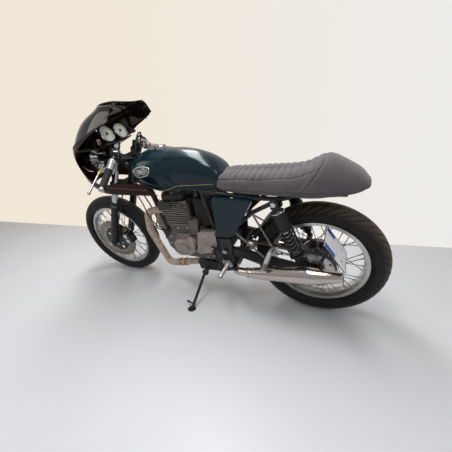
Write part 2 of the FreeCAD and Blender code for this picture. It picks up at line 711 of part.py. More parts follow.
def fairing_ring(z, half, nose, depth, inset):
    half = half - inset
    nose = nose - inset
    depth = depth - inset * 0.5
    centre = nose - depth
    pts = []
    for i in range(13):
        t = math.radians(-90 + 15 * i)
        pts.append(V(centre + depth * math.cos(t), half * math.sin(t), z))
    curve = Part.BSplineCurve()
    curve.interpolate(pts)
    back = 730
    tail = half - 10
    right = V(back, -tail, z)
    left = V(back, tail, z)
    return Part.Wire([curve.toShape(), Part.makeLine(pts[-1], left), Part.makeLine(left, right),
                      Part.makeLine(right, pts[0])])


def fairing_shell():
    outer = Part.makeLoft([fairing_ring(z, h, n, d, 0) for z, h, n, d in LEVELS], True, False)
    inner = Part.makeLoft([fairing_ring(z, h, n, d, SHELL) for z, h, n, d in LEVELS], True, False)
    inner = inner.fuse(inner.translated(V(-30, 0, 0)))
    return outer.cut(inner)


def seam(x):
    """Height of the joint between the painted fairing and the screen."""
    return 1112 - 0.327 * (x - 1000)


def fairing_parts():
    shell = fairing_shell()
    above = plate([(700, seam(700)), (1600, seam(1600)), (1600, 1300), (700, 1300)], -300, 300)
    keep = plate([(972, 1192), (976, 1118), (1012, 1092), (1600, 900), (1600, 1260), (1100, 1216)], -300, 300, 30)
    middle = SCREEN_TOP - SCREEN_ARCH
    arch = cyl(V(600, 0, middle), V(1600, 0, middle), SCREEN_ARCH)
    screen = shell.common(above).common(keep).common(arch)
    below = shell.cut(above)
    window = [(700, 1300), (1000, 1300), (1001, 1108), (1143, 1052), (1290, 972), (1335, 935), (1338, 885),
              (1288, 829), (1165, 797), (1046, 806), (890, 812), (859, 803), (822, 760), (780, 738), (700, 738)]
    cut = plate(window, -300, 300)
    under = plate([(700, 600), (1500, 600), (1500, 780), (1400, 770), (1290, 744), (1200, 740), (700, 740)],
                  -300, 300)
    lamp = cyl(V(1300, 0, 905), V(1500, 0, 905), LAMP_R + 2)
    body = below.cut(cut).cut(under).cut(lamp)
    return solid(body), solid(screen)


def headlamp():
    """The lamp's bowl with its rim and domed lens."""
    return turned_about(V(1330, 0, 905), V(1440, 0, 905),
                        [(0, 0), (0, 30), (20, 66), (60, LAMP_R), (104, LAMP_R), (104, 80), (112, 60), (116, 0)])


def clocks():
    """Two instruments: bezel, sunk face and a cup that tapers forward."""
    shapes = []
    face = unit(V(-0.9239, 0, 0.3827))
    for s in (1, -1):
        c = V(1145, CLOCK_Y * s, 1050)
        shapes.append(turned_about(c, c - face, [(-4, 40), (-4, 44), (6, 44), (8, 42), (50, 30), (56, 18), (56, 0),
                                                 (2, 0), (2, 40)]))
    return fuse(shapes)


def fairing_stay():
    """The tube that carries lamp and fairing, the clock bracket, ignition barrel and warning light."""
    shapes = [rod([fork(25, 0, 930), V(1180, 0, 905), V(1300, 0, 905)], 14, 40),
              cyl(V(1290, 0, 905), V(1331, 0, 905), 24),
              cyl(V(1240, 0, 905), V(1212, 0, 984), 10),
              plate([(1150, 1003), (1205, 985), (1246, 985), (1240, 973), (1200, 972), (1150, 990)], -80, 80, 3)]
    for s in (1, -1):
        shapes.append(cyl(V(1170, CLOCK_Y * s, 985), V(1174, CLOCK_Y * s, 1022), 11))
        shapes.append(rod([V(1215, 70 * s, 978), V(1225, 150 * s, 985), V(1232, 206 * s, 993)], 6, 30))
    shapes.append(cyl(V(1162, 0, 972), V(1199, 0, 957), 16))
    shapes.append(box(1180, 1205, 84, 108, 1003, 1030))
    shapes.append(cyl(V(1192, 92, 1006), V(1200, 74, 980), 6))
    return fuse(shapes)


# Steering
YOKE_LOW = 828.0
YOKE_TOP = 1004.0
SLIDER_TOP = 695.0


def yokes():
    shapes = []
    for w, t in ((YOKE_LOW, 24), (YOKE_TOP, 20)):
        pts = [fork(-26, 0, w) + V(0, -20, 0), fork(-26, 0, w) + V(0, 20, 0), fork(30, 0, w) + V(0, 122, 0),
               fork(75, 0, w) + V(0, 122, 0), fork(78, 0, w) + V(0, 70, 0), fork(40, 0, w) + V(0, 30, 0),
               fork(40, 0, w) + V(0, -30, 0), fork(78, 0, w) + V(0, -70, 0), fork(75, 0, w) + V(0, -122, 0),
               fork(30, 0, w) + V(0, -122, 0)]
        shapes.append(Part.Face(ring(pts, 10)).extrude(FORK_UP * t))
    shapes.append(cyl(fork(0, 0, YOKE_LOW), fork(0, 0, YOKE_TOP + 34), 14))
    shapes.append(cyl(fork(0, 0, YOKE_TOP + 20), fork(0, 0, YOKE_TOP + 30), 20))
    return fuse(shapes)


def stanchion(s):
    return cyl(fork(FORK_OFFSET, FORK_Y * s, AXLE_W + 30), fork(FORK_OFFSET, FORK_Y * s, 1062), 19)


def slider(s):
    low = AXLE_W - 32
    body = turned_about(fork(FORK_OFFSET, FORK_Y * s, 0), fork(FORK_OFFSET, FORK_Y * s, 1),
                        [(low, 0), (low, 20), (low + 14, 24), (SLIDER_TOP - 30, 24), (SLIDER_TOP - 26, 27),
                         (SLIDER_TOP, 27), (SLIDER_TOP, 19), (AXLE_W + 30, 19), (AXLE_W + 30, 0)])
    return body


def front_axle():
    a = fork(FORK_OFFSET, 0, AXLE_W)
    pin = cyl(a + V(0, -128, 0), a + V(0, 128, 0), 8)
    nuts = [cyl(a + V(0, s * 121, 0), a + V(0, s * 132, 0), 13) for s in (1, -1)]
    spacer = [cyl(a + V(0, 58, 0), a + V(0, 74, 0), 11), cyl(a + V(0, -74, 0), a + V(0, -49, 0), 14)]
    return fuse([pin] + nuts + spacer)


def caliper():
    a = fork(FORK_OFFSET, 0, AXLE_W)
    out = unit(V(-0.97, 0, 0.24))
    along = V(-out.z, 0, out.x)
    c = a + out * 132

    def slab(r0, r1, t0, t1, y0, y1):
        pts = [c + out * r0 + along * t0, c + out * r1 + along * t0, c + out * r1 + along * t1, c + out * r0 + along * t1]
        pts = [p + V(0, y0, 0) for p in pts]
        return Part.Face(Part.makePolygon(pts + pts[:1])).extrude(V(0, y1 - y0, 0))

    body = slab(-24, 34, -42, 42, 44, 92)
    gap = slab(-30, 25, -50, 50, 56.5, 64.5)
    pistons = [cyl(c + along * t + V(0, 88, 0), c + along * t + V(0, 98, 0), 17) for t in (-20, 20)]
    arm = slab(-110, -20, -18, 18, 76, 88)
    return fuse([body.cut(gap), arm] + pistons)


def bar_points(s):
    clamp = fork(FORK_OFFSET, FORK_Y, 1045)
    end = V(1012, 335, 848)
    inner = clamp + (end - clamp) * 0.06
    return [V(p.x, p.y * s, p.z) for p in (clamp, inner, end)]


def clip_on(s):
    clamp, inner, end = bar_points(s)
    c = fork(FORK_OFFSET, FORK_Y * s, 0)
    ring_piece = cyl(c + FORK_UP * 1028, c + FORK_UP * 1060, 27)
    bar = cyl(inner, end, 11)
    tip = cyl(end - unit(end - clamp) * 4, end + unit(end - clamp) * 12, 15)
    return fuse([ring_piece, bar, tip])


def along_bar(s, k):
    """A point k millimetres in from the bar's end."""
    clamp, inner, end = bar_points(s)
    return end - unit(end - clamp) * k


def grip(s):
    return cyl(along_bar(s, 6), along_bar(s, 126), 16.5)


def perch(s):
    """Lever clamp and pivot; on the right also the switch housing and the brake's master cylinder."""
    clamp, inner, end = bar_points(s)
    d = unit(end - clamp)
    fore = unit(V(1, 0, 0) - d * d.x)
    up = unit(d.cross(fore)) * s
    p = along_bar(s, 150)
    shapes = [cyl(along_bar(s, 128), along_bar(s, 172), 19), cyl(p, p + fore * 52, 9),
              cyl(p + fore * 46 - up * 9, p + fore * 46 + up * 9, 11)]
    if s < 0:
        cup = p + fore * 48
        shapes.append(cyl(along_bar(s, 171), along_bar(s, 212), 23))
        shapes.append(cyl(cup - V(0, 0, 12), cup + V(0, 0, 24), 16))
        shapes.append(cyl(cup + V(0, 0, 22), cup + V(0, 0, 34), 19))
    else:
        shapes.append(cyl(along_bar(s, 171), along_bar(s, 202), 20))
    return fuse(shapes)


def lever(s):
    clamp, inner, end = bar_points(s)
    d = unit(end - clamp)
    fore = unit(V(1, 0, 0) - d * d.x)
    root = along_bar(s, 150) + fore * 58
    mid = along_bar(s, 110) + fore * 62
    tip = along_bar(s, -12) + fore * 72
    blade = rod([root, mid, tip], 5.5, 40)
    ball = Part.makeSphere(8, tip)
    return fuse([blade, ball])


# Small parts
def foot_peg(s):
    """A rear-set plate piece with a round alloy peg that hangs a little."""
    arm = plate([(430, 298), (452, 338), (500, 334), (484, 298)], 132 * s, 140 * s, 6)
    root = V(462, 138 * s, 318)
    tip = V(481, 224 * s, 284)
    peg = fuse([cone(root, root + (tip - root) * 0.85, 9, 12), cyl(root + (tip - root) * 0.85, tip, 14)])
    return fuse([arm, peg])


def pillion_peg(s):
    """Two thin struts from the frame's lower stay meet in a bar that carries the folded peg."""
    strut_a = cyl(V(300, 112 * s, 640), V(196, 146 * s, 474), 5)
    strut_b = cyl(V(416, 112 * s, 528), V(230, 146 * s, 396), 5)
    bar = cyl(V(190, 146 * s, 484), V(236, 146 * s, 386), 9)
    peg = cyl(V(200, 150 * s, 466), V(228, 226 * s, 392), 12)
    return fuse([strut_a, strut_b, bar, peg])


def gear_lever():
    """The gear shaft's arm, its link rod and the stub that the toe lifts."""
    g = GEAR_SHAFT
    boss = cyl(g + V(0, 0.3, 0), g + V(0, 11, 0), 13)
    arm = rod([g + V(0, 6, 0), V(525, 160, 382)], 7)
    link = rod([V(525, 160, 384), V(488, 162, 326)], 4)
    toe = cyl(V(488, 152, 322), V(500, 192, 312), 8)
    return fuse([boss, arm, link, toe])


def brake_pedal():
    """The rear brake pedal on the right: pivot boss, forward arm with a pad, and a tail for the rod."""
    boss = cyl(V(500, -132.3, 350), V(500, -156, 350), 14)
    arm = rod([V(500, -148, 350), V(560, -150, 318), V(640, -156, 300)], 7, 30)
    pad = box(626, 664, -196, -150, 296, 306)
    tail = rod([V(500, -148, 350), V(505, -152, 300)], 6)
    return fuse([boss, arm, pad, tail])


PLATE_CENTRE = V(-82.5, 184, 538)
PLATE_SIZE = 153.0
PLATE_OUT = V(-0.82, 0, 0.572)


def plate_corners(size):
    across = V(0, 1, 0)
    along = PLATE_OUT.cross(across)
    h = size / 2
    c = PLATE_CENTRE
    return [c + across * h + along * h, c - across * h + along * h, c - across * h - along * h,
            c + across * h - along * h]


def number_plate():
    return Part.Face(ring(plate_corners(PLATE_SIZE), 10)).extrude(PLATE_OUT * 2)


def plate_bracket():
    back = Part.Face(ring(plate_corners(PLATE_SIZE * 0.8), 10)).extrude(PLATE_OUT * -3)
    arm = rod([PLATE_CENTRE - PLATE_OUT * 3 + V(0, -25, 0), V(-40, 150, 470), V(0, 150, REAR_AXLE.z)], 8, 30)
    tab = cyl(V(0, 140, REAR_AXLE.z), V(0, 156, REAR_AXLE.z), 16)
    return fuse([back, arm, tab])


def side_stand():
    p = STAND_PIVOT
    f = STAND_FOOT
    d = unit(f - p)
    leg = cyl(p + d * 8, f + d * 14, 9)
    eye = cyl(p - stand_axis() * 9, p + stand_axis() * 9, 15)
    up = stand_up()
    pad = cyl(f - up * 12, f + up * 5, 24)
    knee = p + d * (STUB_AT * (f - p).Length)
    stub = fuse([cyl(knee, knee + V(40, -6, 2), 4.5), cyl(knee + V(36, -5, 2), knee + V(48, -7, 3), 7)])
    body = fuse([leg, eye, pad, stub])
    hole = cyl(p - stand_axis() * 20, p + stand_axis() * 20, 6.3)
    return body.cut(hole)


def stand_up():
    """The true vertical, seen from the upright frame of the leaning bike."""
    a = math.radians(LEAN)
    return V(0, -math.sin(a), math.cos(a))


def stand_axis():
    d = unit(STAND_FOOT - STAND_PIVOT)
    return unit(d.cross(V(-1, 0, 0)))


def stand_bracket():
    """The fixed lug under the frame, its arm and the pin that the side stand swings on."""
    p = STAND_PIVOT
    a = stand_axis()
    pin = cyl(p - a * 18, p + a * 14, 5.8)
    cheek = cyl(p - a * 18, p - a * 10, 18)
    arm = rod([p - a * 14, V(645, 70, 214)], 14)
    swing = cyl(p - a * 10, p + a * 40, 32).cut(cyl(p - a * 12, p + a * 42, 5.8))
    return fuse([pin, cheek, arm]).cut(swing)


# Pose
def parked(shape):
    """Lean the upright bike onto its stand and move it to the row's zero point."""
    out = shape.copy()
    out.rotate(V(0, 0, 0), V(1, 0, 0), -LEAN)
    out.translate(V(-ORIGIN_X, -ORIGIN_Y, rise()))
    return out


def rise():
    return REAR_MINOR * (1 - math.cos(math.radians(LEAN)))


def parked_point(p):
    q = FreeCAD.Rotation(V(1, 0, 0), -LEAN).multVec(p)
    return q + V(-ORIGIN_X, -ORIGIN_Y, rise())


def parked_vector(v):
    return FreeCAD.Rotation(V(1, 0, 0), -LEAN).multVec(v)


def turned_point(p):
    turn = FreeCAD.Rotation(FORK_UP, STEER_REST)
    base = V(STEER_GROUND_X, 0, 0)
    return base + turn.multVec(p - base)


def turned_vector(v):
    return FreeCAD.Rotation(FORK_UP, STEER_REST).multVec(v)


def turned(shape):
    out = shape.copy()
    out.rotate(V(STEER_GROUND_X, 0, 0), FORK_UP, STEER_REST)
    return out


def fork_slide():
    """How far the axle slides along the fork so that the turned front tyre meets the ground."""
    c = parked_point(turned_point(fork(FORK_OFFSET, 0, AXLE_W)))
    n = parked_vector(turned_vector(V(0, 1, 0)))
    low = c.z - FRONT_MAJOR * math.sqrt(1 - n.z * n.z) - FRONT_MINOR
    return -low / parked_vector(FORK_UP).z


# Assembly
def carve(nodes, order):
    """Cut each piece by those before it, so that neighbours meet face to face."""
    done = {}
    for name in order:
        shape = nodes[name]
        near = [done[k] for k in done if done[k].BoundBox.intersect(shape.BoundBox)]
        if near:
            shape = shape.cut(near)
        done[name] = solids(shape)
    return done


def pair(make):
    """The left and right pieces of one node."""
    return Part.Compound([make(1), make(-1)])


def build():
    fairing, screen = fairing_parts()
    chassis = {
        "main_frame": main_frame(),
        "rear_rails": rear_rails(),
        "pivot_plates": pivot_plates(),
        "swingarm": swingarm(),
        "rear_axle": rear_axle(),
        "chain": chain(),
        "shocks": pair(shock),
        "springs": pair(spring),
        "crankcase": crankcase(),
        "engine_covers": Part.Compound([left_case(), right_case()]),
        "sprocket_cover": sprocket_cover(),
        "cylinder": cylinder(),
        "cylinder_head": head(),
        "carburettor": carburettor(),
        "airbox": airbox(),
        "headers": headers(),
        "collector": collector(),
        "silencer_left": silencer(1),
        "silencer_right": silencer(-1),
        "stand_bracket": stand_bracket(),
        "filler_neck": filler_neck(),
        "fuel_tank": tank(),
        "seat": seat(),
        "seat_pan": seat_pan(),
        "side_covers": pair(side_cover),
        "fairing": fairing,
        "screen": screen,
        "headlamp": headlamp(),
        "fairing_stay": fairing_stay(),
        "clocks": clocks(),
        "foot_pegs": pair(foot_peg),
        "foot_controls": Part.Compound([gear_lever(), brake_pedal()]),
        "rear_brake_plate": rear_brake(),
        "pillion_pegs": pair(pillion_peg),
        "number_plate": number_plate(),
        "plate_bracket": plate_bracket(),
    }
    steering = {
        "yokes": yokes(),
        "stanchions": pair(stanchion),
        "sliders": pair(slider),
        "front_axle": front_axle(),
        "caliper": caliper(),
        "clip_ons": pair(clip_on),
        "grips": pair(grip),
        "perches": pair(perch),
        "levers": pair(lever),
    }
    return chassis, steering


def main():
    os.makedirs("parts", exist_ok=True)
    chassis, steering = build()
    order = ["main_frame", "rear_rails", "pivot_plates", "rear_axle", "swingarm",
             "rear_brake_plate", "chain", "crankcase", "engine_covers",
             "sprocket_cover", "cylinder", "cylinder_head", "carburettor", "airbox", "headers",
             "collector", "silencer_left", "silencer_right", "stand_bracket", "filler_neck", "fuel_tank",
             "shocks", "springs", "seat_pan", "seat", "side_covers", "fairing", "screen", "headlamp",
             "fairing_stay", "clocks", "foot_pegs", "foot_controls", "pillion_pegs",
             "number_plate", "plate_bracket"]
    chassis = carve(chassis, order)
    steering = carve(steering, ["front_axle", "stanchions", "sliders", "yokes", "caliper", "clip_ons", "grips",
                                "perches", "levers"])
    slide = FORK_UP * fork_slide()
    wheel = front_wheel()
    for name in wheel:
        wheel[name].translate(slide)
    for name in ("sliders", "front_axle", "caliper"):
        steering[name].translate(slide)
    everything = {}
    for name, shape in chassis.items():
        everything[name] = parked(shape)
    for name, shape in {**steering, **wheel}.items():
        everything[name] = parked(turned(shape))
    for name, shape in rear_wheel().items():
        everything[name] = parked(shape)
    everything["filler_cap"] = parked(filler_cap())
    floor = Part.makeBox(3000, 3000, 200, V(-1500, -1500, -200))
    everything["side_stand"] = parked(side_stand()).cut(floor)
    for name, shape in everything.items():
        shape.exportStep(os.path.join("parts", name + ".step"))


if __name__ == "__main__":
    main()
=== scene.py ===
import json
from math import acos, atan2, copysign, cos, exp, pi, radians, sin, sqrt, tan

import bmesh
import bpy
import numpy as np
from mathutils import Matrix, Vector
from mathutils.bvhtree import BVHTree


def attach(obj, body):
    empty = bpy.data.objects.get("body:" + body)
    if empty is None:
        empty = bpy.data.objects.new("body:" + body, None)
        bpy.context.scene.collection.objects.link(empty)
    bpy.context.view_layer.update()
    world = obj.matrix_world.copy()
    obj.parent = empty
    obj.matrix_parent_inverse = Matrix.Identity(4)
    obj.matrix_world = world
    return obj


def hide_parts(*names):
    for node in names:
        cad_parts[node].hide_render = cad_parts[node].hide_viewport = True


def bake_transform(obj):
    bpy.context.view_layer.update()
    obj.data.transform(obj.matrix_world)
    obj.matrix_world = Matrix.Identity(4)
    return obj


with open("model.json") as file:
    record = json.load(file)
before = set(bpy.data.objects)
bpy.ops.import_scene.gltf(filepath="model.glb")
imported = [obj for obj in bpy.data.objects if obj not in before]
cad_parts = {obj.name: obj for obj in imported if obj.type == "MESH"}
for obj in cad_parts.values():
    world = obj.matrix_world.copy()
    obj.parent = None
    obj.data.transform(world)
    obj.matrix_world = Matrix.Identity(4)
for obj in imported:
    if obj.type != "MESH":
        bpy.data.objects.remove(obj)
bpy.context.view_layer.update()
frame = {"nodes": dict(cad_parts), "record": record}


def V(x, y, z):
    return Vector((x, y, z))


def polar(r, a, y=0):
    """A point on a wheel's circle."""
    return V(r * cos(a), y, r * sin(a))


def square_to(v, d):
    """The unit vector along the part of v that is square to d."""
    return (v - d * v.dot(d)).normalized()


# Driving dimensions in MM, millimetres in the upright bike: X forward from the rear axle, Y to the rider's left,
# Z up from the ground. Angles are in radians.
Y = V(0, 1, 0)
UP = V(0, 0, 1)
LEAN = radians(11.13)
STEER = radians(4.63)
RAKE = radians(27.13)
STEER_GROUND_X = 1513.0
FORK_OFFSET = 52.5
FORK_Y = 97.0
ORIGIN = (700.0, 160.0)
TYRE_MINOR = 64.5
RISE = TYRE_MINOR * (1 - cos(LEAN))
RIM_FLANGE_R = 243.0
REAR_AXLE_Z = 330.5
SPROCKET_SHAFT = (590.0, 440.0)
CHAIN_PITCH = 15.875
CHAIN_Y = 84.0
SPROCKET_TEETH = 38
SPROCKET_R = CHAIN_PITCH / (2 * sin(pi / SPROCKET_TEETH))
DRIVE_TEETH = 16
DRIVE_R = CHAIN_PITCH / (2 * sin(pi / DRIVE_TEETH))

# The cylinder's foot and the way it leans, the pitch of the header wrap, and a distance beside the motorcycle
BARREL_FOOT = V(775, 0, 498)
BARREL_UP = V(0.1205, 0, 0.9927).normalized()
FIN_PITCH = 12
WRAP_PITCH = 21
BESIDE = 420

# Outlines of the engine's covers, as (x, z)
LEFT_COVER = ((822, 418), (786, 452), (700, 462), (644, 432), (648, 372), (700, 330), (768, 318), (812, 350))
RIGHT_COVER = ((600, 330), (610, 480), (700, 505), (820, 480), (850, 410), (820, 320), (700, 295))
CHAIN_COVER = ((619, 507), (514, 523), (511, 442), (546, 384), (650, 358))

FORK_UP = V(-sin(RAKE), 0, cos(RAKE))
FORK_FORE = V(cos(RAKE), 0, sin(RAKE))
LEAN_TURN = Matrix.Rotation(-LEAN, 4, "X")
BAR_TURN = LEAN_TURN @ Matrix.Rotation(STEER, 4, FORK_UP)
PARK = Matrix.Scale(0.001, 4) @ Matrix.Translation((-ORIGIN[0], -ORIGIN[1], RISE)) @ LEAN_TURN
HEAD_FOOT = Matrix.Translation((STEER_GROUND_X, 0, 0))
TURN = PARK @ HEAD_FOOT @ Matrix.Rotation(STEER, 4, FORK_UP) @ HEAD_FOOT.inverted()
UNPARK = PARK.inverted()
TURN_TO_UPRIGHT = UNPARK @ TURN


def joint_at(name):
    for joint in frame["record"]["behaviour"]["joints"]:
        if joint["name"] == name:
            return Vector(joint["pos_m"])


FRONT_HUB = joint_at("front_wheel_spin")
REAR_HUB = joint_at("rear_wheel_spin")
FRONT = Matrix.Translation(FRONT_HUB) @ BAR_TURN @ Matrix.Scale(0.001, 4)
REAR = Matrix.Translation(REAR_HUB) @ LEAN_TURN @ Matrix.Scale(0.001, 4)
FRONT_AXLE = TURN.inverted() @ FRONT_HUB
BASES = {"chassis": PARK, "filler_cap": PARK, "steering": TURN, "front_wheel": FRONT, "rear_wheel": REAR}

# Camera, fitted to the photograph: its place in metres, its turn, lens and centre
CAMERA_AT = V(-0.7858, 1.149, 0.9495)
YAW = radians(-63.8455)
PITCH = radians(-19.1637)
ROLL = radians(-3.6161)
FOCAL_PX = 244.7975
FRAME_PX = 452
CENTRE_PX = (225.98, 224.97)


def fork(f, y, w):
    """A point in the fork's own frame, in MM: f ahead of the steering axis, w up along it."""
    return V(STEER_GROUND_X, y, 0) + FORK_FORE * f + FORK_UP * w


def new_object(name, data):
    obj = bpy.data.objects.new(name, data)
    bpy.context.scene.collection.objects.link(obj)
    return obj


# Camera
def make_camera():
    ahead = V(cos(PITCH) * cos(YAW), cos(PITCH) * sin(YAW), sin(PITCH))
    right = ahead.cross(UP).normalized()
    up = right.cross(ahead)
    across = right * cos(ROLL) + up * sin(ROLL)
    top = up * cos(ROLL) - right * sin(ROLL)
    data = bpy.data.cameras.new("camera")
    data.sensor_fit = "HORIZONTAL"
    data.sensor_width = 36.0
    data.lens = FOCAL_PX * data.sensor_width / FRAME_PX
    data.shift_x = (FRAME_PX / 2 - CENTRE_PX[0]) / FRAME_PX
    data.shift_y = -(FRAME_PX / 2 - CENTRE_PX[1]) / FRAME_PX
    data.clip_start = 0.02
    data.clip_end = 60
    camera = new_object("camera", data)
    camera.matrix_world = Matrix.Translation(CAMERA_AT) @ Matrix((across, top, -ahead)).transposed().to_4x4()
    bpy.context.scene.camera = camera


# Materials
class Finish:
    """A node material that varies in colour and gloss, with a fine grain."""

    def __init__(self, name, colour, rough=0.4, metal=0.0, coat=0.0, sheen=0.0, specular=0.5):
        self.material = bpy.data.materials.new(name)
        self.material.use_nodes = True
        self.tree = self.material.node_tree
        self.shader = self.tree.nodes["Principled BSDF"]
        for key, value in (("Base Color", (*colour, 1)), ("Roughness", rough), ("Metallic", metal),
                           ("Coat Weight", coat), ("Coat Roughness", 0.05), ("Sheen Weight", sheen),
                           ("Specular IOR Level", specular)):
            self.shader.inputs[key].default_value = value
        self.colour = colour
        self.rough = rough
        self.place = self.node("ShaderNodeTexCoord").outputs["Object"]

    def node(self, kind, **settings):
        made = self.tree.nodes.new(kind)
        for key, value in settings.items():
            setattr(made, key, value)
        return made

    def link(self, a, b):
        self.tree.links.new(a, b)

    def noise(self, scale, detail):
        made = self.node("ShaderNodeTexNoise")
        made.inputs["Scale"].default_value = scale
        made.inputs["Detail"].default_value = detail
        self.link(self.place, made.inputs["Vector"])
        return made.outputs["Fac"]

    def ramp(self, value, low, high, start=0.3, end=0.7):
        made = self.node("ShaderNodeMapRange")
        for key, number in (("From Min", start), ("From Max", end), ("To Min", low), ("To Max", high)):
            made.inputs[key].default_value = number
        self.link(value, made.inputs["Value"])
        return made.outputs["Result"]

    def vary(self, other, scale=9.0):
        """Colour drifts between the base colour and another."""
        blend = self.node("ShaderNodeMix", data_type="RGBA")
        blend.inputs["A"].default_value = (*self.colour, 1)
        blend.inputs["B"].default_value = (*other, 1)
        self.link(self.ramp(self.noise(scale, 6.0), 0, 1), blend.inputs["Factor"])
        self.link(blend.outputs["Result"], self.shader.inputs["Base Color"])
        self.blend = blend
        return self

    def over(self, colour, mask):
        """A third colour laid over the first two where the mask is 1."""
        top = self.node("ShaderNodeMix", data_type="RGBA")
        top.inputs["B"].default_value = (*colour, 1)
        self.link(self.blend.outputs["Result"], top.inputs["A"])
        self.link(mask, top.inputs["Factor"])
        self.link(top.outputs["Result"], self.shader.inputs["Base Color"])
        return self

    def ring(self, start, end):
        """1 beyond a radius about the object's own Y axis, 0 inside it, in metres."""
        flat = self.node("ShaderNodeVectorMath", operation="MULTIPLY")
        flat.inputs[1].default_value = (1, 0, 1)
        self.link(self.place, flat.inputs[0])
        size = self.node("ShaderNodeVectorMath", operation="LENGTH")
        self.link(flat.outputs["Vector"], size.inputs[0])
        return self.ramp(size.outputs["Value"], 0, 1, start, end)

    def worn(self, amount=0.08, scale=14.0):
        """Gloss drifts up and down around the base value."""
        value = self.ramp(self.noise(scale, 8.0), self.rough - amount, self.rough + amount)
        self.link(value, self.shader.inputs["Roughness"])
        return self

    def grain(self, scale, depth, strength):
        """Fine relief, depth in metres."""
        bump = self.node("ShaderNodeBump")
        bump.inputs["Strength"].default_value = strength
        bump.inputs["Distance"].default_value = depth
        self.link(self.noise(scale, 5.0), bump.inputs["Height"])
        self.link(bump.outputs["Normal"], self.shader.inputs["Normal"])
        return self


# Bare metals and metal paints: colour, roughness, metallic, second colour and its scale, drift of the gloss
METALS = (
    ("cover_silver", (0.34, 0.292, 0.264), 0.3, 0.65, (0.22, 0.187, 0.169), 16, (0.07, 24)),
    ("fin_edge", (0.38, 0.325, 0.285), 0.34, 0.7, (0.25, 0.21, 0.185), 30, (0.1, 40)),
    ("chrome", (0.55, 0.55, 0.56), 0.16, 1.0, (0.42, 0.42, 0.43), 18, (0.05, 20)),
    ("silencer_metal", (0.56, 0.50, 0.45), 0.2, 1.0, (0.47, 0.415, 0.37), 4, (0.025, 5)),
    ("polished", (0.48, 0.47, 0.45), 0.28, 1.0, (0.36, 0.35, 0.34), 15, (0.08, 18)),
    ("cast_silver", (0.44, 0.43, 0.42), 0.38, 0.6, (0.33, 0.32, 0.31), 22, (0.08, 30)),
    ("spoke_steel", (0.26, 0.25, 0.24), 0.3, 1.0, (0.16, 0.15, 0.145), 25, (0.1, 30)),
    ("steel", (0.27, 0.23, 0.20), 0.3, 0.9, (0.18, 0.15, 0.13), 20, (0.1, 60)),
    ("chain_steel", (0.10, 0.092, 0.085), 0.4, 0.9, (0.05, 0.046, 0.042), 60, (0.12, 80)),
    ("gold", (0.42, 0.27, 0.09), 0.34, 0.9, (0.3, 0.18, 0.06), 20, (0.08, 20)),
)
# Small painted and printed parts: colour, roughness, metallic, coat, second colour and its scale
SMALL = (
    ("badge_silver", (0.60, 0.60, 0.60), 0.4, 0.25, 0, (0.48, 0.48, 0.48), 30),
    ("badge_dark", (0.10, 0.105, 0.11), 0.4, 0.4, 0, (0.06, 0.064, 0.068), 30),
    ("plate_blue", (0.02, 0.10, 0.32), 0.35, 0, 0.3, (0.016, 0.08, 0.26), 20),
    ("dial_white", (0.66, 0.64, 0.56), 0.4, 0, 0, (0.58, 0.56, 0.49), 40),
    ("ink_and_painted_shade", (0.006, 0.006, 0.006), 0.5, 0, 0, (0.010, 0.010, 0.010), 50),
    ("stripe_gold", (0.36, 0.20, 0.06), 0.35, 0.2, 0.6, (0.30, 0.16, 0.045), 30),
    ("stripe_red", (0.16, 0.028, 0.018), 0.35, 0.1, 0.6, (0.13, 0.022, 0.014), 30),
    ("signal_red", (0.45, 0.02, 0.02), 0.4, 0, 0.3, (0.36, 0.015, 0.015), 40),
    ("signal_orange", (0.62, 0.12, 0.015), 0.35, 0, 0.4, (0.5, 0.09, 0.01), 40),
    ("signal_yellow", (0.62, 0.50, 0.03), 0.4, 0, 0.3, (0.5, 0.4, 0.02), 40),
)


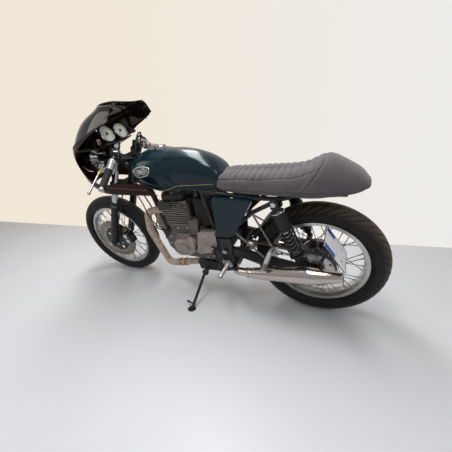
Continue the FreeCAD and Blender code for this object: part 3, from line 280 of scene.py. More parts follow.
def make_finishes():
    made = {}

    def add(name, *args, **kwargs):
        made[name] = Finish(name, *args, **kwargs)
        return made[name]

    for name, colour, rough, metal, other, scale, drift in METALS:
        add(name, colour, rough, metal).vary(other, scale).worn(*drift)
    for name, colour, rough, metal, coat, other, scale in SMALL:
        add(name, colour, rough, metal, coat).vary(other, scale)
    add("frame_black", (0.0065, 0.0065, 0.007), 0.33, coat=0.15, specular=0.3).vary(
        (0.012, 0.012, 0.0125)).worn().grain(600, 0.0002, 0.15)
    add("arm_black", (0.009, 0.009, 0.0095), 0.42, specular=0.3).vary(
        (0.016, 0.0155, 0.015)).worn(0.1).grain(500, 0.0003, 0.2)
    add("plastic_black", (0.005, 0.005, 0.0055), 0.5, specular=0.22).vary(
        (0.009, 0.009, 0.0095)).worn(0.1).grain(900, 0.0003, 0.3)
    add("case_grey", (0.13, 0.110, 0.098), 0.42, 0.55).vary(
        (0.075, 0.064, 0.057), 25).worn(0.1, 30).grain(700, 0.0003, 0.25)
    add("fin_grey", (0.040, 0.033, 0.029), 0.5, 0.3).vary(
        (0.022, 0.018, 0.016), 30).worn(0.1, 40).grain(800, 0.0004, 0.3)
    add("teal_paint", (0.0024, 0.0125, 0.0185), 0.24, 0.05, coat=0.28, specular=0.2).vary(
        (0.0032, 0.0165, 0.0235), 4).worn(0.03, 6)
    add("fairing_paint", (0.020, 0.0046, 0.0026), 0.32, coat=0.03, specular=0.08).vary(
        (0.023, 0.006, 0.0042), 5).worn(0.03, 6)
    add("suede", (0.062, 0.052, 0.056), 0.95, sheen=0.25).vary((0.088, 0.075, 0.079), 14).grain(1400, 0.0006, 0.5)
    add("wrap", (0.56, 0.435, 0.355), 0.9).vary((0.37, 0.285, 0.23), 30).grain(900, 0.0008, 0.6)
    add("alloy", (0.60, 0.60, 0.60), 0.32, 0.95).vary((0.48, 0.48, 0.48), 12).worn(0.08, 25).grain(900, 0.0002, 0.15)
    add("rubber", (0.005, 0.005, 0.005), 0.62, specular=0.25).vary(
        (0.013, 0.0125, 0.0125), 12).worn(0.1, 9).grain(1100, 0.0004, 0.35)
    # A browner colour over the tread's crown, all round each tyre between the two radii: a painted sheen for the warm
    # highlight on the crown
    for name, crown_sheen, start, end in (("tread_rubber", (0.060, 0.040, 0.025), 0.297, 0.322),
                                   ("front_tread_rubber", (0.022, 0.018, 0.015), 0.285, 0.312)):
        tread = add(name, (0.005, 0.005, 0.005), 0.55, specular=0.25).vary((0.009, 0.0085, 0.0085), 12)
        tread.over(crown_sheen, tread.ring(start, end)).worn(0.1, 9).grain(1100, 0.0004, 0.35)
    add("grip_rubber", (0.012, 0.012, 0.0125), 0.75).vary((0.018, 0.018, 0.019), 30).grain(900, 0.0006, 0.5)
    add("plate_white", (0.72, 0.71, 0.72), 0.35, coat=0.3).vary((0.62, 0.61, 0.62), 20).worn(0.06, 15)
    smoke = add("smoke", (0.009, 0.007, 0.0055), 0.09, coat=0.03, specular=0.36).vary((0.013, 0.010, 0.008), 5)
    glass = add("glass", (0.93, 0.95, 0.95), 0.03).vary((0.9, 0.93, 0.93), 8)
    smoke.shader.inputs["Specular Tint"].default_value = (1.0, 0.84, 0.66, 1)
    for clear, share, ior in ((smoke, 0.12, 1.49), (glass, 1.0, 1.15)):
        clear.shader.inputs["Transmission Weight"].default_value = share
        clear.shader.inputs["IOR"].default_value = ior
    return made


NODE_FINISH = {
    "frame_black": ("main_frame", "rear_rails", "pivot_plates", "fairing_stay", "stand_bracket", "side_stand",
                    "yokes", "clip_ons", "plate_bracket"),
    "arm_black": ("swingarm", "sliders", "shocks", "springs", "collector", "foot_controls", "rear_brake_plate",
                  "seat_pan", "caliper"),
    "plastic_black": ("airbox", "clocks"),
    "case_grey": ("crankcase", "carburettor"),
    "cover_silver": ("engine_covers", "sprocket_cover"),
    "fin_grey": ("cylinder", "cylinder_head"),
    "teal_paint": ("fuel_tank", "side_covers"),
    "fairing_paint": ("fairing",),
    "suede": ("seat",),
    "wrap": ("headers",),
    "silencer_metal": ("silencer_left", "silencer_right"),
    "chrome": ("stanchions", "filler_neck", "filler_cap", "rear_axle", "front_axle", "headlamp"),
    "polished": ("levers",),
    "cast_silver": ("foot_pegs", "perches"),
    "spoke_steel": ("front_hub_spokes", "rear_hub_spokes", "pillion_pegs"),
    "alloy": ("front_rim", "rear_rim", "rear_sprocket"),
    "steel": ("front_disc",),
    "chain_steel": ("chain",),
    "ink_and_painted_shade": ("front_disc_carrier",),
    "rubber": ("front_tyre", "rear_tyre"),
    "grip_rubber": ("grips",),
    "plate_white": ("number_plate",),
    "smoke": ("screen",),
}

# The slot of each finish that a form is made in
SLOTS = {
    "bright_metal": ("polished", "chrome", "gold", "cast_silver", "badge_silver", "badge_dark"),
    "black_plastic": ("plastic_black", "grip_rubber", "ink_and_painted_shade", "signal_red", "signal_orange", "signal_yellow"),
    "black_frame": ("frame_black",),
    "engine_grey": ("cover_silver", "fin_grey", "fin_edge"),
    "tyre_rubber": ("tread_rubber", "front_tread_rubber"),
    "white_plate": ("dial_white", "plate_blue"),
    "deep_teal": ("teal_paint", "stripe_gold", "stripe_red"),
    "alloy": ("alloy",),
    "steel": ("steel", "chain_steel"),
    "wrap": ("wrap",),
    "smoke": ("glass",),
}
SLOT_OF = {finish: slot for slot, names in SLOTS.items() for finish in names}


def paint(piece, finish):
    piece.data.materials.clear()
    piece.data.materials.append(FINISHES[finish].material)


def dress_nodes():
    for finish, names in NODE_FINISH.items():
        for name in names:
            if name in frame["nodes"]:
                paint(frame["nodes"][name], finish)


# Forms: shapes gathered in MM and placed as one mesh
def across(direction):
    """The unit direction and two unit vectors square to it."""
    d = Vector(direction).normalized()
    hint = UP if abs(d.z) < 0.9 else V(1, 0, 0)
    u = d.cross(hint).normalized()
    return d, u, d.cross(u)


def smooth_path(points, steps=8):
    """A soft line through the points."""
    pts = [Vector(p) for p in points]
    pts = [pts[0] * 2 - pts[1]] + pts + [pts[-1] * 2 - pts[-2]]
    line = []
    for i in range(1, len(pts) - 2):
        a, b, c, d = pts[i - 1:i + 3]
        for k in range(steps):
            t = k / steps
            line.append(0.5 * ((2 * b) + (c - a) * t + (2 * a - 5 * b + 4 * c - d) * t * t
                               + (3 * b - a - 3 * c + d) * t * t * t))
    line.append(pts[-2])
    return line


def circle(p, u, w, r, sides):
    """Points around p, in the plane of the unit vectors u and w."""
    return [p + (u * cos(t) + w * sin(t)) * r for t in [2 * pi * k / sides for k in range(sides)]]


def band(start, end, low, high, soft=1.0):
    """The profile of a raised band with softened edges, for Form.turn."""
    return [(start, low), (start + soft, high), (end - soft, high), (end, low)]


class Form:
    """One piece, gathered from tubes, turned shapes, bolts and plates."""

    def __init__(self, name, finish, body="chassis", slot=None):
        self.name = name
        self.finish = finish
        self.body = body
        self.slot = slot or SLOT_OF[finish]
        self.verts = []
        self.faces = []

    def add(self, verts, faces):
        base = len(self.verts)
        self.verts += [Vector(v) for v in verts]
        self.faces += [tuple(base + i for i in face) for face in faces]
        return self

    def rings(self, rings, closed=False):
        """Skins a run of rings that have the same count of points."""
        count = len(rings[0])
        faces = []
        for i in range(len(rings) if closed else len(rings) - 1):
            a = i * count
            b = ((i + 1) % len(rings)) * count
            for j in range(count):
                k = (j + 1) % count
                faces.append((a + j, a + k, b + k, b + j))
        if not closed:
            faces.append(tuple(reversed(range(count))))
            faces.append(tuple((len(rings) - 1) * count + j for j in range(count)))
        return self.add([v for one in rings for v in one], faces)

    def tube(self, points, r, sides=10, closed=False):
        pts = [Vector(p) for p in points]
        u = across(pts[1] - pts[0])[1]
        rings = []
        for i, p in enumerate(pts):
            back = pts[i - 1] if i or closed else pts[0]
            ahead = pts[(i + 1) % len(pts)] if i < len(pts) - 1 or closed else pts[-1]
            d = (ahead - back).normalized()
            u = square_to(u, d)
            rings.append(circle(p, u, d.cross(u), r, sides))
        return self.rings(rings, closed)

    def cord(self, points, r, sides=8, steps=8):
        """A tube along a soft line through the points."""
        return self.tube(smooth_path(points, steps), r, sides)

    def turn(self, p, q, profile, sides=28, closed=False):
        """Turns pairs of (distance from p, radius) about the line from p to q."""
        p = Vector(p)
        d, u, w = across(Vector(q) - p)
        return self.rings([circle(p + d * along, u, w, max(r, 0.04), sides) for along, r in profile], closed)

    def hexagon(self, p, out, r, height):
        """A hexagon bolt head on its washer."""
        p = Vector(p)
        self.turn(p, p + Vector(out), [(-0.6, r * 1.3), (0.7, r * 1.3), (1.1, r * 1.15)], 18)
        return self.turn(p, p + Vector(out), [(0.8, r), (height - 0.8, r), (height, r * 0.82)], 6)

    def screw(self, p, out, r, height):
        """A round screw head with a sunk socket."""
        p = Vector(p)
        return self.turn(p, p + Vector(out), [(-0.5, r), (height - 0.8, r), (height, r - 0.8), (height, r * 0.5),
                                              (height * 0.45, r * 0.48)], 16)

    def slab(self, outline, thick):
        """A flat plate from an outline of points and a vector through its thickness, its edges broken."""
        pts = [Vector(p) for p in outline]
        t = Vector(thick)
        middle = sum(pts, Vector()) / len(pts)
        soft = min(0.8, t.length * 0.3)
        d = t.normalized()

        def drawn_in(p):
            return p + (middle - p).normalized() * soft

        return self.rings([[drawn_in(p) for p in pts], [p + d * soft for p in pts], [p + t - d * soft for p in pts],
                           [drawn_in(p) + t for p in pts]])

    def strip(self, points, normals, wide, high):
        """A low raised band that follows a surface."""
        rings = []
        for i, p in enumerate(points):
            back = points[max(i - 1, 0)]
            ahead = points[min(i + 1, len(points) - 1)]
            n = normals[i].normalized()
            side = (ahead - back).cross(n).normalized() * (wide / 2)
            rings.append([p - side - n * 1.5, p - side + n * high * 0.6, p - side * 0.7 + n * high,
                          p + side * 0.7 + n * high, p + side + n * high * 0.6, p + side - n * 1.5])
        return self.rings(rings)

    def place(self, sharp=38):
        mesh = bpy.data.meshes.new(self.name)
        mesh.from_pydata([v * 0.001 for v in self.verts], [], self.faces)
        fair = bmesh.new()
        fair.from_mesh(mesh)
        bmesh.ops.recalc_face_normals(fair, faces=fair.faces)
        fair.to_mesh(mesh)
        fair.free()
        mesh.shade_smooth()
        mesh.set_sharp_from_angle(angle=radians(sharp))
        mesh.materials.append(FINISHES[self.finish].material)
        obj = new_object(self.name, mesh)
        obj.matrix_world = BASES[self.body] @ Matrix.Scale(1000, 4)
        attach(obj, self.body)
        return obj


def place_all(*forms):
    for form in forms:
        form.place()


TREES = {}


def tree_of(node):
    """The CAD node's surface in MM of the upright bike, for finding points on it."""
    if node not in TREES:
        obj = frame["nodes"][node]
        at = UNPARK @ obj.matrix_world
        verts = [at @ v.co for v in obj.data.vertices]
        TREES[node] = BVHTree.FromPolygons(verts, [tuple(p.vertices) for p in obj.data.polygons])
    return TREES[node]


def side_point(node, side, x, z):
    """Where a level line from the left or the right first meets the node: the point and its outward normal."""
    toward = Y * -side
    point, normal = tree_of(node).ray_cast(V(x, side * BESIDE, z), toward)[:2]
    if point is None:
        return None, None
    return point, normal if normal.dot(toward) < 0 else -normal


def side_line(node, line, side):
    """Points and normals of a soft line of (x, z) pairs on the node's left or right side."""
    found = [side_point(node, side, p.x, p.z) for p in smooth_path([(x, 0, z) for x, z in line], 7)]
    found = [pair for pair in found if pair[0] is not None]
    return [p for p, n in found], [n for p, n in found]


# Wheels
def tyre_section(major, minor, bed_half):
    """Half of the tyre's outline from bead to crown, as (y, radius, crown angle)."""
    mid_r = (RIM_FLANGE_R + major) / 2 - 5
    mid_y = (minor + bed_half) / 2 + 4
    a = V(bed_half, RIM_FLANGE_R, 0)
    b = V(mid_y, mid_r, 0)
    c = V(minor, major, 0)
    wall = []
    for k in range(9):
        t = k / 9
        p = a * (2 * (t - 0.5) * (t - 1)) + b * (-4 * t * (t - 1)) + c * (2 * t * (t - 0.5))
        ridge = 0.7 if k in (2, 3, 6) else 0.0
        wall.append((p.x - ridge, p.y, 90.0))
    crown = []
    for k in range(19):
        angle = 90.0 - 90.0 * k / 18
        t = radians(angle)
        crown.append((minor * sin(t), major + minor * cos(t), angle))
    return wall + crown


GROOVES = 44
GROOVE_WIDE = 9.5
GROOVE_DEEP = 4.5
# Degrees from the crown between which the tread is cut
GROOVE_FROM = 7
GROOVE_TO = 66
TYRE_STEPS = 900


def groove_depth(turn_deg, angle, side, radius):
    """How deep the tread is cut at a place on the crown: slanted curved grooves, set half a pitch apart."""
    reach = abs(angle)
    if reach < GROOVE_FROM or reach > GROOVE_TO:
        return 0.0
    pitch = 360.0 / GROOVES
    bend = 0.16 * reach + 0.0016 * reach * reach
    shift = pitch / 2 if side < 0 else 0.0
    off = (turn_deg + bend + shift) % pitch
    off = radians(min(off, pitch - off)) * radius * 0.86
    ends = min(1.0, (reach - GROOVE_FROM) / 5, (GROOVE_TO - reach) / 8)
    return GROOVE_DEEP * ends * max(0.0, min(1.0, (GROOVE_WIDE / 2 - off) / 1.3 + 0.5))


def make_tyre(node, finish, major, minor, bed_half, body):
    """A tyre with slanted grooves in its tread, their floors painted dark as shade."""
    half = tyre_section(major, minor, bed_half)
    section = [(y, r, angle, 1) for y, r, angle in half] + [(-y, r, angle, -1) for y, r, angle in reversed(half[:-1])]
    rings = []
    deep = []
    for i in range(TYRE_STEPS):
        turn_deg = 360.0 * i / TYRE_STEPS
        t = radians(turn_deg)
        cuts = [groove_depth(turn_deg, angle, side, r) for y, r, angle, side in section]
        ring = [polar(r - cut * cos(radians(angle)), t, y - side * cut * sin(radians(angle)))
                for (y, r, angle, side), cut in zip(section, cuts)]
        rings.append(ring + [polar(RIM_FLANGE_R - 10, t, y) for y in (-bed_half, bed_half)])
        deep.append(cuts + [0.0, 0.0])
    piece = Form(node + "_tread", finish, body).rings(rings, closed=True).place(60)
    # Faces deep in the grooves take a second, black finish: painted shade on the groove floors
    piece.data.materials.append(FINISHES["ink_and_painted_shade"].material)
    for polygon in piece.data.polygons:
        i, j = divmod(polygon.vertices[0], len(rings[0]))
        cut = min(deep[i][j], deep[(i + 1) % TYRE_STEPS][j])
        polygon.material_index = 1 if cut > GROOVE_DEEP * 0.55 else 0
    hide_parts(node)


SPOKES = 36
SPOKE_LAY = 38
NIPPLE_R = 218


def make_spoke_ends(wheel, left, right):
    """Nipples at the rim, spoke heads at the flanges, whose (y, radius) are given, and the valve."""
    body = wheel + "_wheel"
    nipples = Form(wheel + "_nipples", "polished", body)
    heads = Form(wheel + "_spoke_heads", "polished", body)
    for i in range(SPOKES):
        y, r = right if i % 2 else left
        at_rim = 360 / SPOKES * i
        at_hub = at_rim - SPOKE_LAY if i // 2 % 2 else at_rim + SPOKE_LAY
        p = polar(r, radians(at_hub), y)
        q = polar(NIPPLE_R, radians(at_rim), -7 if i % 2 else 7)
        nipples.turn(q, p, [(-2, 5.2), (2, 5.2), (3, 4.2), (16, 3.6), (17, 3.1)], 10)
        out = Y * copysign(1, y)
        heads.turn(p - out * 3.5, p + out, [(0, 2.4), (5.5, 2.4), (6, 4.2), (7.5, 3.8), (8.2, 2.2)], 12)
    valve = Form(wheel + "_valve", "plastic_black", body)
    valve.turn((217, 0, 4), (150, 0, 4), [(-2, 4.5), (1, 4.5), (2, 3), (26, 3), (27, 4), (33, 4), (34, 3)], 12)
    place_all(nipples, heads, valve)


def make_wheel_details():
    make_spoke_ends("front", (35, 44), (-35, 44))
    make_spoke_ends("rear", (33, 48), (-23, 96))
    bolts = Form("front_disc_bolts", "chrome", "front_wheel")
    for k in range(10):
        bolts.hexagon(polar(107, radians(36 * k + 10), 62.8), Y, 5.4, 5)
    for k in range(5):
        bolts.hexagon(polar(50, radians(72 * k), 63.6), Y, 6, 6)
    holes = Form("front_disc_holes", "ink_and_painted_shade", "front_wheel", "disc_black")
    for k in range(48):
        p = polar((126, 136, 146)[k % 3], radians(7.5 * k), 62.9)
        holes.turn(p, p + Y, [(0, 3.2), (0.25, 3.2), (0.3, 2.6), (0.1, 1.6)], 12)
    nuts = Form("rear_sprocket_nuts", "polished", "rear_wheel")
    for k in range(6):
        nuts.hexagon(polar(52, radians(60 * k), CHAIN_Y + 2.8), Y, 7, 7)
    teeth = Form("rear_sprocket_teeth", "alloy", "rear_wheel")
    foot = SPROCKET_R - 12
    for k in range(SPROCKET_TEETH):
        a = 2 * pi * k / SPROCKET_TEETH
        out = polar(1, a)
        over = polar(1, a + pi / 2)
        teeth.slab([out * (foot + r) + over * w + Y * (CHAIN_Y - 2.6)
                    for r, w in ((0, -6.2), (6, -4.2), (11, -1.6), (11, 1.6), (6, 4.2), (0, 6.2))], Y * 5.2)
    place_all(bolts, holes, nuts, teeth)


# Running gear
def chain_points():
    """The centres of the chain's pins, in turn around both sprockets."""
    a = V(0, CHAIN_Y, REAR_AXLE_Z)
    b = V(SPROCKET_SHAFT[0], CHAIN_Y, SPROCKET_SHAFT[1])
    run = b - a
    base = atan2(run.z, run.x)
    swing = acos((SPROCKET_R - DRIVE_R) / run.length)
    up = base + swing
    down = base - swing
    straight = sqrt(run.length ** 2 - (SPROCKET_R - DRIVE_R) ** 2)
    small = DRIVE_R * 2 * swing
    total = 2 * straight + SPROCKET_R * (2 * pi - 2 * swing) + small
    count = int(round(total / CHAIN_PITCH / 2)) * 2
    points = []
    for i in range(count):
        s = total * i / count
        if s < straight:
            p = (a + polar(SPROCKET_R, up)).lerp(b + polar(DRIVE_R, up), s / straight)
        elif s < straight + small:
            p = b + polar(DRIVE_R, up - (s - straight) / DRIVE_R)
        elif s < 2 * straight + small:
            p = (b + polar(DRIVE_R, down)).lerp(a + polar(SPROCKET_R, down), (s - straight - small) / straight)
        else:
            p = a + polar(SPROCKET_R, down - (s - 2 * straight - small) / SPROCKET_R)
        points.append(p)
    return points


def make_chain():
    """Side plates, pins and rollers, the wide and narrow links in turn."""
    links = Form("chain_links", "chain_steel")
    pins = Form("chain_pins", "polished", slot="steel")
    points = chain_points()
    for i, (p, q) in enumerate(zip(points, points[1:] + points[:1])):
        d = (q - p).normalized()
        n = V(-d.z, 0, d.x)
        outline = []
        for centre, start, waist in ((q, -75, 4.3), (p, 105, -4.3)):
            for k in range(6):
                t = radians(start + 30 * k)
                outline.append(centre + (d * cos(t) + n * sin(t)) * 6.4)
            outline.append((p + q) / 2 + n * waist)
        for y in ((4.2, -6.0) if i % 2 else (6.3, -8.2)):
            links.slab([v + Y * y for v in outline], Y * 1.9)
        pins.turn(p - Y * 9, p + Y * 9, band(0, 18, 1.6, 2.6, 0.6), 10)
        links.turn(p - Y * 4.2, p + Y, [(0, 5), (8.4, 5)], 14)
    piece = links.place()
    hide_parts("chain")
    pins.place()


COIL_COUNT = 6
COIL_STEPS = 28
COIL_R = 30


def make_springs():
    """Open coils, the dampers' bright sleeves inside them, and caps on the shocks' ends."""
    coils = Form("spring_coils", "frame_black")
    sleeves = Form("damper_sleeves", "chrome")
    caps = Form("shock_caps", "chrome")
    for side in (1, -1):
        top = V(182, 137 * side, 709)
        low = V(57, 137 * side, 385)
        d = (low - top).normalized()
        start = 141.5
        end = (low - top).length - 77.5
        u = d.cross(Y).normalized()
        w = d.cross(u)
        line = []
        for i in range(COIL_COUNT * COIL_STEPS + 1):
            t = 2 * pi * i / COIL_STEPS
            along = start + (end - start) * i / (COIL_COUNT * COIL_STEPS)
            line.append(top + d * along + (u * cos(t) + w * sin(t)) * COIL_R)
        coils.tube(line, 5.2, 12)
        sleeves.turn(top + d * 137, low, [(0, 21.6), (end - 140, 21.6)], 32)
        for k in (6, 12):
            sleeves.turn(top + d * (end - k), low, [(0, 22.8), (3, 22.8)], 32)
        out = Y * side
        caps.turn(top + out * 13.8, top + out * 40, [(0, 12), (3, 12), (3.5, 10), (11, 10), (14, 7), (14.5, 0)], 24)
        caps.turn(low + out * 12.8, low + out * 40, [(0, 11), (3, 11), (3.5, 9), (9, 9), (11.5, 6), (12, 0)], 24)
        caps.turn(top + d * 40, low, [(0, 31.2), (3, 32.2), (5, 32.2), (6, 31.2)], 32)
    piece = coils.place()
    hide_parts("springs")
    place_all(sleeves, caps)


# Seat
SIDE_SEAM = ((-60, 862), (4, 851), (26, 839), (57, 827), (92, 816), (118, 812), (176, 811), (233, 807), (289, 805),
             (347, 805), (430, 800), (500, 794))
HUMP_EDGE = ((760, 60), (807, 28), (840, 6), (888, -21), (930, -40))
CHANNEL_PITCH = 31.5
CHANNEL_AT = 242.0
# In metres: the grid of the cover's mesh, how far it starts inside the plain seat, and how far it may swell
SEAT_VOXEL = 0.0058
SEAT_SUNK = 0.0032
SEAT_SWELL = 0.006


def read_line(line, value):
    return float(np.interp(value, [p[0] for p in line], [p[1] for p in line]))


def seat_relief(p):
    """How far the cover is drawn in at a place on the seat: cross channels, the side seam and the hump's edge."""
    seam_z = read_line(SIDE_SEAM, p.x)
    edge_x = read_line(HUMP_EDGE, p.z)
    above = min(1.0, max(0.0, (p.z - seam_z) / 7))
    ahead = min(1.0, max(0.0, (p.x - edge_x - 2) / 7))
    front = min(1.0, max(0.0, (425 - p.x) / 8))
    off = (p.x - CHANNEL_AT + abs(p.y) * 0.02) % CHANNEL_PITCH
    near = min(off, CHANNEL_PITCH - off) / (CHANNEL_PITCH / 2)
    pillow = 1 - sqrt(max(0.0, 1 - (1 - near) ** 2))
    depth = 7.5 * pillow * above * ahead * front
    if p.x > edge_x - 10:
        depth = max(depth, 4.0 * exp(-((p.z - seam_z) / 3.0) ** 2) * (1 if p.x > edge_x else 0))
    if p.z > 770:
        depth = max(depth, 4.5 * exp(-((p.x - edge_x) / 3.2) ** 2))
    depth = max(depth, 3.0 * exp(-((p.z - 752) / 2.6) ** 2))
    return depth


def make_seat():
    """The seat's cover: a swollen copy of the plain seat with sewn channels."""
    scene = bpy.context.scene
    source = frame["nodes"]["seat"]
    mesh = source.data.copy()
    mesh.transform(source.matrix_world)
    piece = new_object("seat_cover", mesh)
    bpy.context.view_layer.objects.active = piece
    for other in bpy.context.selected_objects:
        other.select_set(False)
    piece.select_set(True)
    remesh = piece.modifiers.new("even", "REMESH")
    remesh.mode = "VOXEL"
    remesh.voxel_size = SEAT_VOXEL
    bpy.ops.object.modifier_apply(modifier=remesh.name)
    mesh = piece.data
    for v, n in zip(mesh.vertices, [v.normal.copy() for v in mesh.vertices]):
        v.co -= n * SEAT_SUNK
    rest = [v.co.copy() for v in mesh.vertices]
    cloth = piece.modifiers.new("swell", "CLOTH")
    cloth.settings.use_pressure = True
    cloth.settings.uniform_pressure_force = 4
    cloth.settings.quality = 5
    cloth.settings.effector_weights.gravity = 0
    cloth.point_cache.frame_start = 1
    cloth.point_cache.frame_end = 20
    for number in range(1, 21):
        scene.frame_set(number)
    graph = bpy.context.evaluated_depsgraph_get()
    swollen = piece.evaluated_get(graph).to_mesh()
    moved = [v.co.copy() for v in swollen.vertices]
    piece.evaluated_get(graph).to_mesh_clear()
    piece.modifiers.remove(cloth)
    for v, a, b in zip(mesh.vertices, rest, moved):
        step = b - a
        if step.length > SEAT_SWELL:
            step = step.normalized() * SEAT_SWELL
        v.co = a + step
    scene.frame_set(1)
    finer = piece.modifiers.new("finer", "SUBSURF")
    finer.levels = 1
    bpy.ops.object.modifier_apply(modifier=finer.name)
    mesh = piece.data
    for v, n in zip(mesh.vertices, [v.normal.copy() for v in mesh.vertices]):
        v.co -= n * (seat_relief(UNPARK @ v.co) * 0.001)
    mesh.shade_smooth()
    paint(piece, "suede")
    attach(piece, "chassis")
    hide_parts("seat")


# Tank
TANK_SECTIONS = ((455, 820, 764, 62, 0.8, 0.78), (478, 858, 752, 84, 0.85, 0.78), (530, 896, 745, 99, 0.88, 0.78),
                 (610, 926, 743, 108, 0.9, 0.78), (700, 941, 742, 114, 0.92, 0.78), (765, 944, 741, 124, 0.92, 0.78),
                 (800, 947, 742, 136, 0.9, 0.78), (880, 948, 760, 138, 0.88, 0.78), (940, 938, 790, 128, 0.86, 0.78),
                 (985, 916, 818, 108, 0.84, 0.78), (1010, 896, 838, 90, 0.8, 0.78))
RECESS_TOP = ((440, 840), (469, 864), (517, 887), (574, 899), (625, 908), (687, 914), (745, 917), (779, 906),
              (800, 890))
RECESS_DEPTH = ((500, 0), (595, 7.0), (744, 12.0), (776, -6.0), (806, -3.0), (826, 0))
TUNNEL_HALF = 42.0
TUNNEL_TOP = 858.0
NOSE_CLEAR = 74.0
CAP_X = 838
CAP_HOLE_R = 31


def tank_ring(top, bottom, wide, foot, crown):
    h = top - bottom
    right = [(0, top), (0.42 * wide, top - 0.05 * h), (crown * wide, top - 0.19 * h), (0.96 * wide, top - 0.42 * h),
             (wide, top - 0.64 * h), (0.97 * wide, top - 0.86 * h), (foot * wide, bottom)]
    pts = right + [(0, bottom)] + [(-y, z) for y, z in reversed(right[1:])]
    ring = []
    count = len(pts)
    for i in range(count):
        a, b, c, d = [pts[(i + k) % count] for k in (-1, 0, 1, 2)]
        for step in range(10):
            t = step / 10
            ring.append([0.5 * (2 * b[m] + (c[m] - a[m]) * t + (2 * a[m] - 5 * b[m] + 4 * c[m] - d[m]) * t * t
                                + (3 * b[m] - a[m] - 3 * c[m] + d[m]) * t ** 3) for m in (0, 1)])
    return np.array(ring)


def make_tank():
    """The tank's skin: the same sections as the solid, with the crisp knee recess pressed into its flanks."""
    xs = [row[0] for row in TANK_SECTIONS]
    rings = [tank_ring(*row[1:]) for row in TANK_SECTIONS]
    slopes = []
    for i in range(len(xs)):
        a = max(i - 1, 0)
        b = min(i + 1, len(xs) - 1)
        slopes.append((rings[b] - rings[a]) / (xs[b] - xs[a]))
    stations = []
    for i in range(len(xs) - 1):
        span = xs[i + 1] - xs[i]
        steps = max(4, int(round(span / 3.6)))
        for k in range(steps + (1 if i == len(xs) - 2 else 0)):
            t = k / steps
            ring = (rings[i] * (2 * t ** 3 - 3 * t * t + 1) + slopes[i] * span * (t ** 3 - 2 * t * t + t)
                    + rings[i + 1] * (3 * t * t - 2 * t ** 3) + slopes[i + 1] * span * (t ** 3 - t * t))
            stations.append((xs[i] + span * t, ring))
    skin = []
    for x, ring in stations:
        top = float(ring[:, 1].max())
        bottom = float(ring[:, 1].min())
        line = []
        for y, z in ring:
            edge = read_line(RECESS_TOP, x)
            low = min(1.0, max(0.0, (z - 762) / 16))
            high = min(1.0, max(0.0, (edge - z) / 14))
            press = read_line(RECESS_DEPTH, x - (z - 850) * 0.35) * low * high * min(1.0, abs(y) / 60)
            y = y - copysign(press, y)
            if abs(y) < TUNNEL_HALF and z < bottom + 4:
                z = min(TUNNEL_TOP, top - 7)
            p = V(x, float(y), float(z))
            if abs(p.y) < NOSE_CLEAR:
                f = (p - V(STEER_GROUND_X, 0, 0)).dot(FORK_FORE)
                p += FORK_FORE * min(0.0, -sqrt(NOSE_CLEAR ** 2 - p.y ** 2) - f)
            line.append(p)
        skin.append(line)
    form = Form("tank_skin", "teal_paint").rings(skin)
    kept = []
    for face in form.faces:
        centre = sum((form.verts[i] for i in face), Vector()) / len(face)
        if V(centre.x - CAP_X, centre.y, 0).length >= CAP_HOLE_R or centre.z <= 900:
            kept.append(face)
    form.faces = kept
    TREES["fuel_tank"] = BVHTree.FromPolygons(form.verts, form.faces)
    piece = form.place(60)
    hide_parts("fuel_tank")


GUARD_R = 346.0


def make_guard():
    """The thin black sheet between the swinging arm and the rear tyre."""
    axle = UP * REAR_AXLE_Z
    rings = []
    for k in range(17):
        t = radians(22 + 30 * k / 16)
        section = [(y, GUARD_R - drop) for y, drop in ((-64, 10), (-62, 0), (-40, -1), (0, -1.5), (40, -1), (62, 0),
                                                       (64, 10))]
        rings.append([axle + polar(r, t, y) for y, r in section]
                     + [axle + polar(r - 2.5, t, y * 0.97) for y, r in reversed(section)])
    form = Form("inner_guard", "plastic_black").rings(rings)
    for y in (-50, 50):
        p = axle + polar(GUARD_R, radians(24), y)
        form.tube([p, V(380, y, 402)], 5, 10)
        form.screw(p + V(2, 0, 6), (0.9, 0, 0.42), 5, 4)
    form.place()


# Paint lines, badge and gasket: lines as (x, z)
TANK_LINE = ((1004, 732), (960, 733), (913, 736), (842, 745), (764, 750), (707, 767), (616, 771), (500, 775))
FAIRING_LINE = ((1170, 787), (1105, 785), (1022, 781), (914, 776), (831, 774), (795, 776))
BADGE = ((966, 851), (945, 869), (892, 881), (845, 875), (837, 864), (852, 838), (905, 824), (955, 826), (966, 851))
BADGE_X = 903
BADGE_Z = 852


def make_badge(side, tag):
    """A dark domed shield with a bright rim and wing bars, drawn onto the tank's side."""
    points, normals = side_line("fuel_tank", BADGE, side)
    middle = sum(points, Vector()) / len(points)
    edge = points[:-1]
    rings = [[p - n * 3 for p, n in zip(edge, normals)]]
    for share, high in ((0.0, 1.2), (0.05, 2.6), (0.3, 2.8), (0.6, 3.0), (0.9, 3.2)):
        found = [side_point("fuel_tank", side, *p.lerp(middle, share).xz) for p in edge]
        rings.append([hit + normal * high for hit, normal in found])
    Form("tank_badge_" + tag, "badge_dark").rings(rings).place()
    Form("tank_badge_rim_" + tag, "badge_silver").tube(rings[2], 2.6, 8, closed=True).place()
    wings = Form("tank_badge_bars_" + tag, "badge_silver")
    for up_by, reach in ((14, 34), (5, 50), (-4, 50), (-13, 38)):
        for start, end in ((-reach, -14), (14, reach)):
            xs = [start + (end - start) * k / 6 for k in range(7)]
            found = [side_point("fuel_tank", side, BADGE_X + x, BADGE_Z + up_by - x * 0.16) for x in xs]
            wings.strip([hit + normal * 2.6 for hit, normal in found], [normal for hit, normal in found], 4.6, 2.2)
    hit, normal = side_point("fuel_tank", side, BADGE_X, BADGE_Z)
    wings.turn(hit + normal * 2.4, hit + normal * 9, [(0, 12), (2, 12), (3, 10), (3, 0)], 28)
    wings.place()


